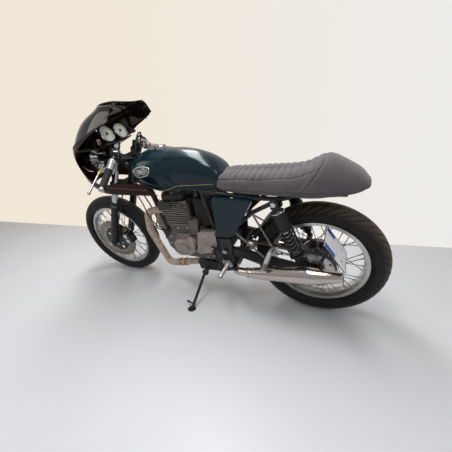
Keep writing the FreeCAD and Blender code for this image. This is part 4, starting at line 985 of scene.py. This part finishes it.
def make_gasket(side, tag):
    """The rubber along the screen's foot, with three of the fairing's screws below it."""
    edge = []
    normals = []
    for k in range(40):
        x = 990 + 9.2 * k
        hit, normal = side_point("fairing", side, x, 1109 - 0.327 * (x - 1000))
        if hit is not None and abs(hit.y) > 60:
            edge.append(hit + UP * 3)
            normals.append(normal)
    Form("screen_gasket_" + tag, "ink_and_painted_shade").strip(edge, normals, 7, 1.6).place()
    studs = Form("fairing_screws_" + tag, "polished")
    for p, n in list(zip(edge, normals))[4:25:10]:
        studs.screw(p - UP * 12 + n, n, 4, 2.4)
    studs.place()


def make_lines():
    for side, tag in ((1, "left"), (-1, "right")):
        for name, node, finish, line in (("tank_line_", "fuel_tank", "stripe_gold", TANK_LINE),
                                         ("fairing_line_", "fairing", "stripe_red", FAIRING_LINE)):
            points, normals = side_line(node, line, side)
            Form(name + tag, finish).strip(points, normals, 3.0, 0.7).place()
        make_badge(side, tag)
        make_gasket(side, tag)


# Cockpit
def make_clock_faces():
    """Dials, rims, marks and needles on faces that are tilted back toward the rider."""
    face = V(-0.9239, 0, 0.3827)
    up = V(0.3827, 0, 0.9239)

    def spoke(degrees):
        return up * sin(radians(degrees)) - Y * cos(radians(degrees))

    dials = Form("dials", "dial_white")
    rims = Form("dial_rims", "chrome")
    marks = Form("dial_marks", "ink_and_painted_shade")
    needles = Form("dial_needles", "ink_and_painted_shade")
    for side in (1, -1):
        c = V(1145, 50.5 * side, 1050)
        dials.turn(c - face * 1.0, c + face, [(0, 39.8), (0.8, 39.8), (1.0, 39)], 48)
        rims.turn(c, c + face, [(-3, 44.4), (4.4, 44.4), (5.4, 43), (5.4, 40.5), (0, 39.6), (-3, 39.6)], 56,
                  closed=True)
        needles.turn(c - face * 0.2, c + face, [(0, 8), (1.0, 8), (1.4, 7), (1.8, 4.6), (5, 4.2), (5.5, 3.6)], 32)
        for k in range(41):
            d = spoke(225 - 270 * k / 40)
            n = d.cross(face)
            inner, half = (33.5, 0.5) if k % 5 else (30, 0.9)
            marks.slab([c + d * r + n * w for r, w in ((inner, -half), (37.5, -half), (37.5, half), (inner, half))],
                       face * 0.6)
        d = spoke(210 if side > 0 else 222)
        n = d.cross(face)
        needles.slab([c + d * r + n * w + face * 2.4 for r, w in ((-8, -1.6), (30, -0.4), (30, 0.4), (-8, 1.6))],
                     face * 0.9)
    place_all(dials, rims, marks, needles)


def make_cockpit():
    key = V(1162, 0, 972)
    back = V(-37, 0, 15).normalized()
    lock = Form("key_ring", "chrome")
    lock.turn(key - back * 2, key + back, [(0, 16.6), (3, 16.6), (4, 15), (4, 11), (2.6, 10), (2.6, 0)], 36)
    slot = Form("key_slot", "ink_and_painted_shade")
    slot.slab([key + back * 0.2 + Y * y + FORK_UP * z for y, z in ((-1.2, -5), (1.2, -5), (1.2, 5), (-1.2, 5))],
              back * 1.6)
    front = V(1180, 96, 1017)
    lamp_lens = Form("warning_lamp", "signal_orange")
    lamp_lens.slab([front + V(0, y, z) for y, z in ((-7, -13), (7, -13), (7, 2), (-7, 2))], (-3.4, 0, 0))
    for z in (-10, -6, -2):
        lamp_lens.slab([front + V(-3.2, y, z + h) for y, h in ((-6, 0), (6, 0), (6, 1.6), (-6, 1.6))], (-1, 0, 0))
    collar = Form("warning_collar", "dial_white")
    collar.slab([front + V(0, y, z) for y, z in ((-7, 2), (7, 2), (7, 12), (-7, 12))], (-3.0, 0, 0))
    rim = [front + V(-1.6, y, z) for y, z in ((0, -14), (8, -14), (8, 13), (-8, 13), (-8, -14), (0, -14))]
    collar.tube(rounded(rim, 3, 4)[:-1], 1.6, 8, closed=True)

    cap = V(CAP_X, 0, 953)
    lid = Form("cap_dome", "chrome", "filler_cap")
    lid.turn(cap + UP * 5, cap + UP * 9,
             [(0, 29.6), (1.4, 28.4), (2.2, 25), (2.0, 21), (2.6, 20), (3.0, 12), (3.0, 0)], 48)
    grips = Form("cap_ribs", "chrome", "filler_cap")
    for k in range(24):
        t = 2 * pi * k / 24
        p = cap + V(30 * cos(t), 30 * sin(t), 1)
        grips.turn(p, p + UP, [(0, 1.1), (3.4, 1.1), (4, 0.6)], 8)
    tab = Form("cap_latch", "plastic_black", "filler_cap")
    tab.slab([cap + Vector(p) for p in ((-31, -7, 2), (-22, -9, 2), (-22, 9, 2), (-31, 7, 2))], (0, 0, 5.4))
    place_all(lock, slot, lamp_lens, collar, lid, grips, tab)


CLAMP_W = 1045
BAR_END = (1012, 335, 848)


def bar(side):
    """The outer end of the left or right bar, the direction out along it, and the one ahead and square to it."""
    x, y, z = BAR_END
    end = V(x, y * side, z)
    clamp = fork(FORK_OFFSET, FORK_Y * side, CLAMP_W)
    d = (end - clamp).normalized()
    return end, d, square_to(V(1, 0, 0), d)


def along_bar(side, k, ahead=0):
    """A point k inward from the bar's end, and ahead of the bar."""
    end, d, fore = bar(side)
    return end - d * k + fore * ahead


def make_bar_details():
    ribs = Form("grip_ribs", "grip_rubber", "steering")
    ends = Form("bar_ends", "polished", "steering")
    bolts = Form("bar_bolts", "chrome", "steering")
    for side in (1, -1):
        end, d, fore = bar(side)
        for k in range(9, 122, 4):
            ribs.turn(along_bar(side, k), end, band(-1.2, 1.2, 15.5, 17.4, 0.3), 28)
        for k in (4, 127):
            ribs.turn(along_bar(side, k), end, band(-2.2, 2.2, 15, 20, 0.4), 32)
        ends.turn(end + d * 3, end + d * 20, [(0, 15.6), (4, 16), (9, 15), (12, 12), (12.4, 5), (10.5, 4.6)], 28)
        for w in (1034, 1052):
            bolts.screw(fork(FORK_OFFSET - 24, (FORK_Y + 9) * side, w), (-1, 0.2 * side, -0.3), 4.2, 6)
        top = fork(FORK_OFFSET, FORK_Y * side, CLAMP_W + 17)
        bolts.turn(top, top + FORK_UP, [(-0.5, 18), (2, 18), (3, 16), (3, 12)], 32)
        bolts.turn(top, top + FORK_UP, [(2.8, 10), (8, 10), (9, 8.6)], 6)
        bolts.hexagon(along_bar(side, 150, 52) + UP * 12, UP, 5, 5)
    stem = fork(0, 0, 1034)
    bolts.turn(stem, stem + FORK_UP, [(-4, 17), (-1, 17), (0, 15.5)], 6)

    facing = V(-1, 0, 0.25)
    back = square_to(facing, bar(-1)[1])
    switch = Form("stop_switch", "signal_red", "steering")
    at = along_bar(-1, 192) + back * 22
    switch.turn(at, at + back, [(0, 8), (3, 8), (4, 7), (6, 7), (6.6, 6)], 24)
    buttons = Form("switch_buttons", "dial_white", "steering", "black_plastic")
    for k, r in ((176, 4.5), (206, 5.0)):
        at = along_bar(-1, k) + back * 22
        buttons.turn(at, at + back, [(0, r), (3, r), (3.6, r - 1)], 18)
    at = along_bar(1, 187) + facing.normalized() * 19
    buttons.turn(at, at + facing, [(0, 5), (3, 5), (3.6, 4)], 18)
    sleeve = Form("lever_sleeve", "signal_yellow", "steering")
    sleeve.turn(along_bar(1, 143, 57), along_bar(1, 128, 60), [(0, 7), (2, 8), (13, 8), (15, 6.6)], 20)
    place_all(ribs, ends, bolts, switch, buttons, sleeve)


def make_bar_lines():
    """Throttle lines and the brake line that arch up from the right bar, with their bright fittings."""
    lines = Form("bar_lines", "grip_rubber", "steering")
    fittings = Form("bar_fittings", "polished", "steering")
    leads = Form("clock_leads", "grip_rubber")
    rise = V(2, 2, 34)
    u = rise.normalized()
    for number, (dx, dy, dz) in enumerate(((0, 0, 4), (-8, 10, -8), (7, -10, -14), (-16, 4, -22))):
        start = along_bar(-1, 212 - 15 * number, 18) + UP * 6
        lines.cord([start, start + rise, (1066 + dx, -142 + dy, 1004 + dz), (1058 + dx, -106 + dy, 1006 + dz),
                    (1064 + dx * 0.5, -74 + dy * 0.6, 972), (1062, -58 + 5 * number, 936)], 3.6 if number else 4.6)
        fittings.turn(start - u * 4, start + u * 30,
                      [(0, 6.4), (9, 6.4), (10, 4.8), (22, 4.8), (23, 6.2), (28, 6.2), (30, 4.4)], 16)
    for k, r in ((236, 19.5), (226, 17.5), (166, 18.5)):
        fittings.turn(along_bar(-1, k), along_bar(-1, k - 10),
                      [(-4, 13), (-4, r - 1), (-3, r), (3, r), (4, r - 1), (4, 13)], 28)
    for number in range(4):
        dy = 9 * number
        leads.cord([(1184, -66 - 0.5 * dy, 1050), (1164, -110 - dy, 1062 - 5 * number),
                    (1136 - 3 * number, -124 - dy, 1042 - 5 * number), (1152, -112 - 0.6 * dy, 1016),
                    (1204, -76, 996)], 4.6 - 0.6 * (number % 2))
    place_all(leads, lines, fittings)


def make_fork_details():
    seals = Form("fork_seals", "grip_rubber", "steering", "tyre_rubber")
    bright = Form("fork_bands", "chrome", "steering")
    bolts = Form("fork_bolts", "chrome", "steering")
    axle_w = (FRONT_AXLE - V(STEER_GROUND_X, 0, 0)).dot(FORK_UP)
    for side in (1, -1):
        c = fork(FORK_OFFSET, FORK_Y * side, 0)
        out = Y * side
        seals.turn(c + FORK_UP * 693, c + FORK_UP * 720,
                   [(-2, 27.6), (1, 28), (3, 26), (8, 25), (9, 21), (10, 19.6)], 36)
        bright.turn(c + FORK_UP * 676, c + FORK_UP * 690, band(0, 4, 24.4, 27.4), 36)
        for w in (842, 1012):
            bolts.screw(c + FORK_UP * w + out * 24, out, 5, 5)
        bolts.hexagon(c + FORK_UP * (axle_w - 32.5), -FORK_UP, 6, 4)
        for w in (-8, 8):
            bolts.screw(c + FORK_UP * (axle_w + w) - FORK_FORE * 23, -FORK_FORE, 3.6, 4)
        bolts.hexagon(FRONT_AXLE + out * 131, out, 9, 7)
    place_all(seals, bright, bolts)


def make_brake():
    """The caliper's caps and bolts, the pads at the disc and the hose up the left leg."""
    out = V(-0.97, 0, 0.24).normalized()
    along = V(-out.z, 0, out.x)
    c = FRONT_AXLE + out * 132
    bolts = Form("caliper_bolts", "chrome", "steering")
    for t in (-20, 20):
        bolts.turn(c + along * t + Y * 97, c + along * t + Y * 120,
                   [(0, 17.4), (1.5, 17), (2, 14), (1.2, 13), (1.2, 6), (2.4, 5.4), (2.4, 0)], 30)
    for t, r in ((-34, 20), (34, 20), (0, -16), (0, 24)):
        bolts.screw(c + along * t + out * r + Y * 92, Y, 4.2, 5)
    pads = Form("brake_pads", "steel", "steering")
    for y in (57.0, 63.4):
        pads.slab([c + out * r + along * t + Y * y for r, t in ((-10, -36), (20, -36), (20, 36), (-10, 36))], Y * 0.6)
    hose = Form("brake_hose", "grip_rubber", "steering")
    hose.cord([c + out * 34 + Y * 74, c + out * 52 + Y * 82 + along * 20, fork(FORK_OFFSET - 34, FORK_Y - 4, 470),
               fork(FORK_OFFSET - 34, FORK_Y - 8, 640), fork(FORK_OFFSET - 36, FORK_Y - 30, 800)], 4.2, 10, 10)
    union = Form("hose_union", "gold", "steering")
    union.turn(c + out * 33 + Y * 74, c + out * 60 + Y * 80, [(0, 6.4), (7, 6.4), (8, 5), (15, 5)], 12)
    place_all(bolts, pads, hose, union)


def bent_cable(name, points, r):
    """A cable between chassis and steering, made in place without a parent."""
    form = Form(name, "grip_rubber").cord(points, r, steps=10)
    mesh = bpy.data.meshes.new(name)
    mesh.from_pydata([PARK @ v for v in form.verts], [], form.faces)
    mesh.shade_smooth()
    obj = new_object(name, mesh)
    paint(obj, "grip_rubber")
    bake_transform(obj)


# Engine and frame details
def ring_of_screws(form, outline, y, r, h, inset=0.93):
    """Screws just inside a cover's outline of (x, z) pairs, on the side that y is on."""
    middle = sum([V(x, 0, z) for x, z in outline], Vector()) / len(outline)
    for x, z in outline:
        p = V(x, 0, z).lerp(middle, 1 - inset)
        form.screw((p.x, y, p.z), (0, copysign(1, y), 0), r, h)


def closed_line(outline, y, bend):
    """The rounded outline of a cover at one depth, as a closed run of points."""
    pts = [V(x, y, z) for x, z in outline]
    start = (pts[0] + pts[-1]) / 2
    return rounded([start] + pts + [start], bend, 5)[:-1]


def make_cover_lines():
    """Dark gasket lines at the feet of the covers, and bright polished tubes on their rims as painted highlights."""
    gasket = Form("cover_gaskets", "ink_and_painted_shade", slot="black_frame")
    # The bright tubes along the cover rims are painted highlights
    bright = Form("cover_edge_highlights", "polished", slot="engine_grey")
    for form, outline, y, bend, r in (
            (gasket, LEFT_COVER, 88.4, 28, 2.4), (gasket, RIGHT_COVER, -88.4, 30, 1.5),
            (gasket, CHAIN_COVER, 104.6, 12, 2.4), (bright, LEFT_COVER, 95.6, 28, 2.2),
            (bright, CHAIN_COVER, 139.4, 12, 2.2)):
        form.tube(closed_line(outline, y, bend), r, 8, closed=True)
    gasket.turn((733, 143.6, 390), (733, 150, 390), [(0, 25), (1.4, 25), (1.6, 24)], 40)
    gasket.turn((735, -145.6, 400), (735, -150, 400), [(0, 63.4), (1.6, 63.4), (1.8, 62)], 52)
    place_all(gasket, bright)


def make_case_details():
    """Bolts of the crankcase and of its covers, and the turned trim on the covers."""
    bolts = Form("case_bolts", "polished")
    ring_of_screws(bolts, LEFT_COVER, 96, 4.4, 5)
    ring_of_screws(bolts, ((608, 499), (520, 510), (519, 446), (552, 396), (638, 368)), 140, 4.4, 4, 0.95)
    ring_of_screws(bolts, RIGHT_COVER, -95, 4.6, 5)
    for k in range(3):
        bolts.screw(V(733, 148.6, 390) + polar(15, radians(120 * k + 30)), Y, 3.2, 3)
    for k in range(5):
        bolts.screw(V(735, -155.6, 400) + polar(52, radians(72 * k)), -Y, 4, 4)
    for s in (1, -1):
        for x, z in ((876, 372), (842, 330), (620, 300), (560, 320), (860, 420), (720, 500), (790, 490)):
            bolts.hexagon((x, 88 * s, z), Y * s, 5.6, 6)
    trim = Form("cover_trim", "cover_silver")
    trim.turn((733, 144.4, 390), (733, 160, 390), [(0, 33), (1.2, 33), (1.8, 31), (0.4, 29.6), (0.4, 26)], 44)
    trim.turn((735, -156, 400), (735, -170, 400), [(0, 46), (1.6, 45), (1.8, 42), (0.6, 40), (0.6, 0)], 44)
    trim.turn((822, -152, 448), (822, -170, 448), [(0, 13.4), (3, 13.4), (4, 12), (4, 8), (7, 7), (7.4, 0)], 20)
    place_all(bolts, trim)


def make_head_details():
    """Nuts, bright fin edges, plugs and plug leads of the cylinder and its head."""
    head = BARREL_FOOT + BARREL_UP * 82
    nuts = Form("head_nuts", "polished")
    for x in (-88, 86):
        for y in (-80, 80):
            nuts.hexagon(head + V(x, y, 0) + BARREL_UP * 81, BARREL_UP, 6, 8)
    for x in (-66, 0, 68):
        for y in (-54, 54):
            nuts.hexagon(head + BARREL_UP * 120 + V(x, y, 0), BARREL_UP, 5.4, 6)
    for y in (-34, 34):
        for x, tilt in ((-58, -0.5), (60, 0.5)):
            p = head + BARREL_UP * 106 + V(x, y, 0)
            out = (BARREL_UP + V(tilt, 0, 0)).normalized()
            nuts.turn(p + out * 19.6, p + out * 30, [(0, 9), (3, 9), (3.6, 8)], 6)
    for s in (1, -1):
        for k in range(3):
            nuts.screw(head + V(30 + 24 * k, 65 * s, 0) + BARREL_UP * (46 + 10 * (k % 2)), Y * s, 4, 4)
    for s in (1, -1):
        port, bend = header_run(s)[:2]
        d, u, w = across(bend - port)
        for t in (pi / 4, pi * 5 / 4):
            nuts.hexagon(port + d * 10 + (u * cos(t) + w * sin(t)) * 31, d, 5, 6)

    edges = Form("fin_edges", "fin_edge")
    levels = [(BARREL_FOOT + BARREL_UP * (14 + FIN_PITCH * k), 96, 98, 88) for k in range(6)]
    levels += [(head + BARREL_UP * (5 + FIN_PITCH * k), 102, 104, 92) for k in range(7)]
    for level, fore, aft, wide in levels:
        ring = []
        for cx, cy, start in ((fore - 18, wide - 18, 0), (18 - aft, wide - 18, 90), (18 - aft, 18 - wide, 180),
                              (fore - 18, 18 - wide, 270)):
            for j in range(5):
                t = radians(start + 22.5 * j)
                p = V(cx + 17.8 * cos(t), cy + 17.8 * sin(t), 0)
                ring.append(level + BARREL_UP * 2 + p - BARREL_UP * p.dot(BARREL_UP))
        edges.tube(ring, 2.2, 8, closed=True)

    plugs = Form("spark_plugs", "polished")
    leads = Form("plug_leads", "grip_rubber")
    for s in (1, -1):
        root = head + V(0, 92 * s, 0) + BARREL_UP * 62
        outward = V(0, s, 0.25).normalized()
        inner = head + V(0, 60 * s, 0) + BARREL_UP * 55
        plugs.turn(inner, root + outward * 4, [(0, 9), (24, 9), (25, 7), (34, 7)], 6)
        leads.cord([root - outward * 6, root + outward * 12, root + V(-22, 10 * s, 38),
                    root + V(-60, -18 * s, 70), root + V(-90, -52 * s, 78)], 3.8, 10)
        leads.turn(root - outward * 12, root + outward * 12, [(0, 7.6), (18, 7), (20, 5)], 16)
    place_all(nuts, edges, plugs, leads)


def make_carburettor_details():
    carb = Form("carburettor_parts", "fin_grey")
    carb.turn((668, 0, 576), (668, 0, 540), [(0, 25), (2, 25), (4, 18), (9, 17), (10, 8), (14, 7.4)], 30)
    carb.turn((666.5, 0, 690), (664.6, 0, 730), [(0, 24.6), (3, 24.6), (4, 22), (20, 20), (22, 8), (34, 7)], 32)
    for k in range(3):
        t = radians(120 * k + 40)
        carb.screw((668 + 20 * cos(t), 20 * sin(t), 627), UP, 2.6, 3)
    carb.cord([(668, 24, 600), (676, 38, 560), (690, 40, 500), (694, 44, 470)], 3)
    carb.turn((646, 0, 642.8), (676, 0, 645.8), band(0, 8, 30, 31, 2), 32)
    carb.turn((688, 0, 647), (718, 0, 650), [(-3, 30), (0, 31.5), (5, 31.5), (7, 29)], 32)
    carb.place()


def header_run(s):
    """The corners of the left or right header, from its port to the collector."""
    return [V(893, 47 * s, 592), V(1034, 52 * s, 562), V(1056, 55 * s, 430), V(964, 58 * s, 170), V(700, 58 * s, 233)]


def make_header_details():
    """The wrap's overlapping turns and the clamps below it."""
    wrap = Form("header_wrap", "wrap")
    clamps = Form("header_clamps", "gold")
    for s in (1, -1):
        run = header_run(s)
        pipe = rounded(run, 52)
        lengths = [0.0]
        for a, b in zip(pipe, pipe[1:]):
            lengths.append(lengths[-1] + (b - a).length)
        total = lengths[-1]
        bands = int(total / WRAP_PITCH)
        for k in range(1, bands - 1):
            at = total * k / bands
            if at < 22 or at > total - 150:
                continue
            slant = 4.2 if k % 2 else 3.6
            rings = []
            for off, r in ((-10.2, 21.1), (-8.4, 23.4), (7.2, 22.6), (9.0, 21.1)):
                ring = []
                for j in range(24):
                    t = 2 * pi * j / 24
                    p, d = walk(pipe, lengths, at + off + slant * sin(t))
                    u, w = across(d)[1:]
                    ring.append(p + (u * cos(t) + w * sin(t)) * r)
                rings.append(ring)
            wrap.rings(rings, closed=True)
        tail = (run[4] - run[3]).normalized()
        for k in (96, 140):
            p = run[3] + tail * k
            clamps.turn(p - tail * 0.6, p + tail * 20, band(0, 17.2, 25.6, 26.2), 32)
            clamps.hexagon(p + tail * 8 + Y * 25 * s, Y * s, 5, 9)
    place_all(wrap, clamps)


def make_silencer_details():
    seams = Form("silencer_bands", "chrome")
    dark = Form("silencer_throats", "ink_and_painted_shade", slot="black_frame")
    for front, tip in (((320, 190, 325), (-123, 200, 402)), ((330, -186, 258), (-88, -196, 264))):
        front = Vector(front)
        tip = Vector(tip)
        d = (tip - front).normalized()
        n = (tip - front).length
        for profile, sides in (
                ([(26, 28.4), (28, 29.6), (31, 29.8), (34, 29.4)], 44),
                (band(n * 0.66 - 1, n * 0.7 + 1, 42.1, 42.7, 3), 52),
                ([(n - 3, 22.1), (n - 1, 23.2), (n + 1.4, 23), (n + 2, 21.4), (n + 1.4, 18.6), (n - 3, 18)], 44)):
            seams.turn(front, tip, profile, sides)
        seams.turn(front - d * 7, tip, band(0, 6, 27.2, 28), 36)
        dark.turn(tip - d * 0.5, front, [(0, 17.9), (3, 17.6), (56, 17.4), (57, 0)], 32)
    place_all(seams, dark)


def rounded(points, bend, steps=9):
    """The same path as a bent tube: straight runs joined by arcs."""
    line = [points[0]]
    for a, b, c in zip(points, points[1:], points[2:]):
        back = (a - b).normalized()
        ahead = (c - b).normalized()
        half = back.angle(ahead) / 2
        reach = min(bend / tan(half), (a - b).length * 0.45, (c - b).length * 0.45)
        r = reach * tan(half)
        centre = b + (back + ahead).normalized() * (r / sin(half))
        start = b + back * reach - centre
        end = b + ahead * reach - centre
        sweep = start.angle(end)
        for k in range(steps + 1):
            t = k / steps
            line.append(centre + (start * sin((1 - t) * sweep) + end * sin(t * sweep)) / sin(sweep))
    line.append(points[-1])
    return line


def walk(line, lengths, at):
    """The point and direction a given length along a line."""
    at = min(max(at, 0.0), lengths[-1] - 0.01)
    for i in range(len(lengths) - 1):
        if lengths[i + 1] >= at:
            k = (at - lengths[i]) / max(lengths[i + 1] - lengths[i], 1e-6)
            return line[i].lerp(line[i + 1], k), (line[i + 1] - line[i]).normalized()
    return line[-1], (line[-1] - line[-2]).normalized()


def make_small_parts():
    centre = V(-82.5, 184, 538)
    out = V(-0.82, 0, 0.572).normalized()
    along = out.cross(Y)
    blue = Form("plate_bands", "plate_blue")
    for t0, t1, u0, u1 in ((-70, -2, 44, 72), (-70, -14, -72, -46)):
        blue.slab([centre + out * 1.8 + Y * a + along * b for a, b in ((u0, t0), (u1, t0), (u1, t1), (u0, t1))], out)
    rim = Form("plate_rim", "plastic_black")
    h = 76.5
    c = h - 8
    corners = [centre + out * 1.4 + Y * a + along * b for a, b in
               ((c, h), (h, c), (h, -c), (c, -h), (-c, -h), (-h, -c), (-h, c), (-c, h))]
    rim.tube(corners, 1.7, 8, closed=True)
    screws = Form("peg_and_plate_bolts", "cast_silver")
    for a in (-40, 40):
        screws.screw(centre + out * 2 + Y * a + along * 40, out, 4.4, 3)
    for s in (1, -1):
        screws.hexagon((446, 139.6 * s, 314), (0, s, 0), 5, 5)
        screws.hexagon((486, 139.6 * s, 318), (0, s, 0), 5, 5)
        root = V(462, 138 * s, 318)
        tip = V(481, 224 * s, 284)
        d = (tip - root).normalized()
        screws.turn(tip - d * 2, tip + d * 10, [(0, 14.4), (2.4, 14.4), (3, 12.5), (3, 9), (0.5, 8.4), (0.5, 0)], 30)
        for k in range(6):
            p = root + d * (24 + 9 * k)
            r = 10.4 + 0.35 * k
            screws.turn(p, tip, band(0, 4, r, r + 1.4), 28)
        a = V(200, 150 * s, 466)
        b = V(228, 226 * s, 392)
        e = (b - a).normalized()
        screws.turn(a + e * 16, b, band(0, 63, 11.8, 12.8), 30)
        screws.turn(b - e, b + e * 10, [(0, 12.6), (2, 12.6), (2.6, 11), (0.6, 8), (0.6, 0)], 26)

    lens = Form("lamp_glass", "glass")
    lamp_at = V(1330, 0, 905)
    ahead = V(1, 0, 0)
    lens.turn(lamp_at + ahead * 104, lamp_at + ahead * 130,
              [(0, 80.4), (3, 78), (7, 66), (10.4, 44), (12.2, 20), (12.6, 0)], 56)
    bowl = Form("lamp_rim", "chrome")
    bowl.turn(lamp_at + ahead * 102, lamp_at + ahead * 130,
              [(0, 85.8), (3, 86.6), (6, 85.4), (6.4, 81), (3, 80), (0, 80)], 60, closed=True)

    gear = Form("gear_rubber", "grip_rubber", slot="tyre_rubber")
    toe_a = V(488, 152, 322)
    toe_b = V(500, 192, 312)
    e = (toe_b - toe_a).normalized()
    gear.turn(toe_a + e * 12, toe_b, [(0, 8.2), (1, 9.6), (26, 9.6), (27, 8.6)], 24)
    for k in range(6):
        gear.turn(toe_a + e * (14 + 4 * k), toe_b, band(0, 2.4, 9.4, 10.4, 0.6), 24)
    pins = Form("pivot_bolts", "polished")
    for x, y, z, r, h in ((530, 163, 428, 6, 5), (525, 165.6, 383, 4.4, 5), (470, 139, 400, 11, 9),
                          (470, -139, 400, 11, 9), (500, -155.6, 350, 7, 6), (0, 131, REAR_AXLE_Z, 14, 9),
                          (0, -131, REAR_AXLE_Z, 14, 9)):
        pins.hexagon((x, y, z), (0, copysign(1, y), 0), r, h)
    place_all(blue, rim, screws, lens, bowl, gear, pins)


def make_cables():
    start = TURN_TO_UPRIGHT @ along_bar(1, 168, 48)
    bent_cable("clutch_cable", [start, start + V(30, -40, 10), (1230, 150, 900), (1150, 96, 800), (1090, 60, 720),
                                (1030, 74, 640), (985, 98, 560), (935, 100, 496), (872, 78, 446)], 3.4)
    start = TURN_TO_UPRIGHT @ along_bar(-1, 200, 20)
    bent_cable("throttle_cable", [start, start + V(40, 30, 0), (1200, -130, 880), (1100, -70, 800), (1020, -62, 720),
                                  (900, -56, 690)], 3.2)
    loom = Form("loom", "grip_rubber")
    loom.cord([(996, -8, 676), (1060, -8, 668), (1104, -34, 636), (1112, -50, 600), (1088, -50, 536),
               (1075, -48, 450), (1074, -22, 412), (1036, -7, 396), (945, -6, 392)], 4.5)
    for s in (1, -1):
        loom.cord([(1168, 34 * s, 992), (1172, 30 * s, 962), (1188, 22 * s, 925), (1150, 19 * s, 908),
                   fork(52, 18 * s, 930)], 4 if s > 0 else 5)
        loom.cord([(1190, 50 * s, 1022), (1196, 40 * s, 990), (1196, 26 * s, 950), (1215, 19 * s, 906)], 3.4)
    loom.place()


# Room
def flat(name, corners, material):
    mesh = bpy.data.meshes.new(name)
    mesh.from_pydata(corners, [], [tuple(range(len(corners)))])
    mesh.materials.append(material)
    new_object(name, mesh)


# In metres: the wall's foot line as (Y at X = 0, slope), and the plane that closes the room behind it
WALL_LINE = (-1.059, 0.1343)
WALL_BACK = -2.4


def make_room():
    """A pale grey floor and a cream wall. The strip of floor past the wall's foot line has the wall's colour."""
    floor = Finish("floor", (0.545, 0.55, 0.565), 0.42, specular=0.35).vary((0.52, 0.527, 0.545), 1.5).worn(0.03, 2)
    wall = Finish("wall", (0.87, 0.80, 0.69), 0.9)
    blend = wall.node("ShaderNodeMix", data_type="RGBA")
    blend.inputs["A"].default_value = (0.86, 0.84, 0.81, 1)
    blend.inputs["B"].default_value = (0.88, 0.80, 0.68, 1)
    split = wall.node("ShaderNodeSeparateXYZ")
    wall.link(wall.place, split.inputs["Vector"])
    wall.link(wall.ramp(split.outputs["X"], 0, 1, -1.5, 3.0), blend.inputs["Factor"])
    wall.link(blend.outputs["Result"], wall.shader.inputs["Base Color"])
    glow = wall.node("ShaderNodeEmission")
    wall.link(blend.outputs["Result"], glow.inputs["Color"])
    path = wall.node("ShaderNodeLightPath")
    seen = path.outputs["Is Camera Ray"]
    for ray in ("Is Glossy Ray", "Is Transmission Ray"):
        either = wall.node("ShaderNodeMath", operation="MAXIMUM")
        wall.link(seen, either.inputs[0])
        wall.link(path.outputs[ray], either.inputs[1])
        seen = either.outputs["Value"]
    mixed = wall.node("ShaderNodeMixShader")
    wall.link(seen, mixed.inputs["Fac"])
    wall.link(wall.shader.outputs["BSDF"], mixed.inputs[1])
    wall.link(glow.outputs["Emission"], mixed.inputs[2])
    wall.link(mixed.outputs["Shader"], wall.tree.nodes["Material Output"].inputs["Surface"])
    at, slope = WALL_LINE
    near_left, near_right = (-9, at - 9 * slope, 0), (9, at + 9 * slope, 0)
    far_left, far_right = (-9, WALL_BACK, 0), (9, WALL_BACK, 0)
    flat("floor", [near_left, near_right, (9, 9, 0), (-9, 9, 0)], floor.material)
    flat("floor_far", [far_left, far_right, near_right, near_left], wall.material)
    flat("wall_back", [far_left, far_right, (9, WALL_BACK, 6), (-9, WALL_BACK, 6)], wall.material)


def lamp(name, at, aim, size, power):
    data = bpy.data.lights.new(name, "AREA")
    data.shape = "RECTANGLE"
    data.size, data.size_y = size
    data.energy = power
    obj = new_object(name, data)
    obj.location = at
    obj.rotation_euler = (Vector(aim) - Vector(at)).to_track_quat("-Z", "Y").to_euler()


def make_lights():
    world = bpy.data.worlds.new("world")
    bpy.context.scene.world = world
    world.use_nodes = True
    sky = world.node_tree.nodes["Background"]
    sky.inputs["Color"].default_value = (0.96, 0.97, 1.0, 1)
    sky.inputs["Strength"].default_value = 0.42
    lamp("ceiling", (0.2, 0.1, 3.0), (0, 0, 0), (3.4, 0.7), 105)
    lamp("rear", (-2.6, 1.6, 2.4), (0, 0, 0.6), (1.4, 1.4), 20)
    lamp("front", (2.8, 1.8, 2.2), (0.2, 0, 0.6), (1.6, 1.6), 18)


FINISHES = make_finishes()
make_camera()
dress_nodes()
make_tyre("front_tyre", "front_tread_rubber", 266.4, 53.7, 29, "front_wheel")
make_tyre("rear_tyre", "tread_rubber", 266.0, 64.5, 36, "rear_wheel")
for make in (make_wheel_details, make_chain, make_springs, make_seat, make_tank, make_guard, make_lines,
             make_clock_faces, make_cockpit, make_bar_details, make_fork_details, make_brake, make_bar_lines,
             make_case_details, make_head_details, make_carburettor_details, make_cover_lines, make_header_details,
             make_silencer_details, make_small_parts, make_cables, make_room, make_lights):
    make()
bpy.context.scene.view_settings.view_transform = "Standard"
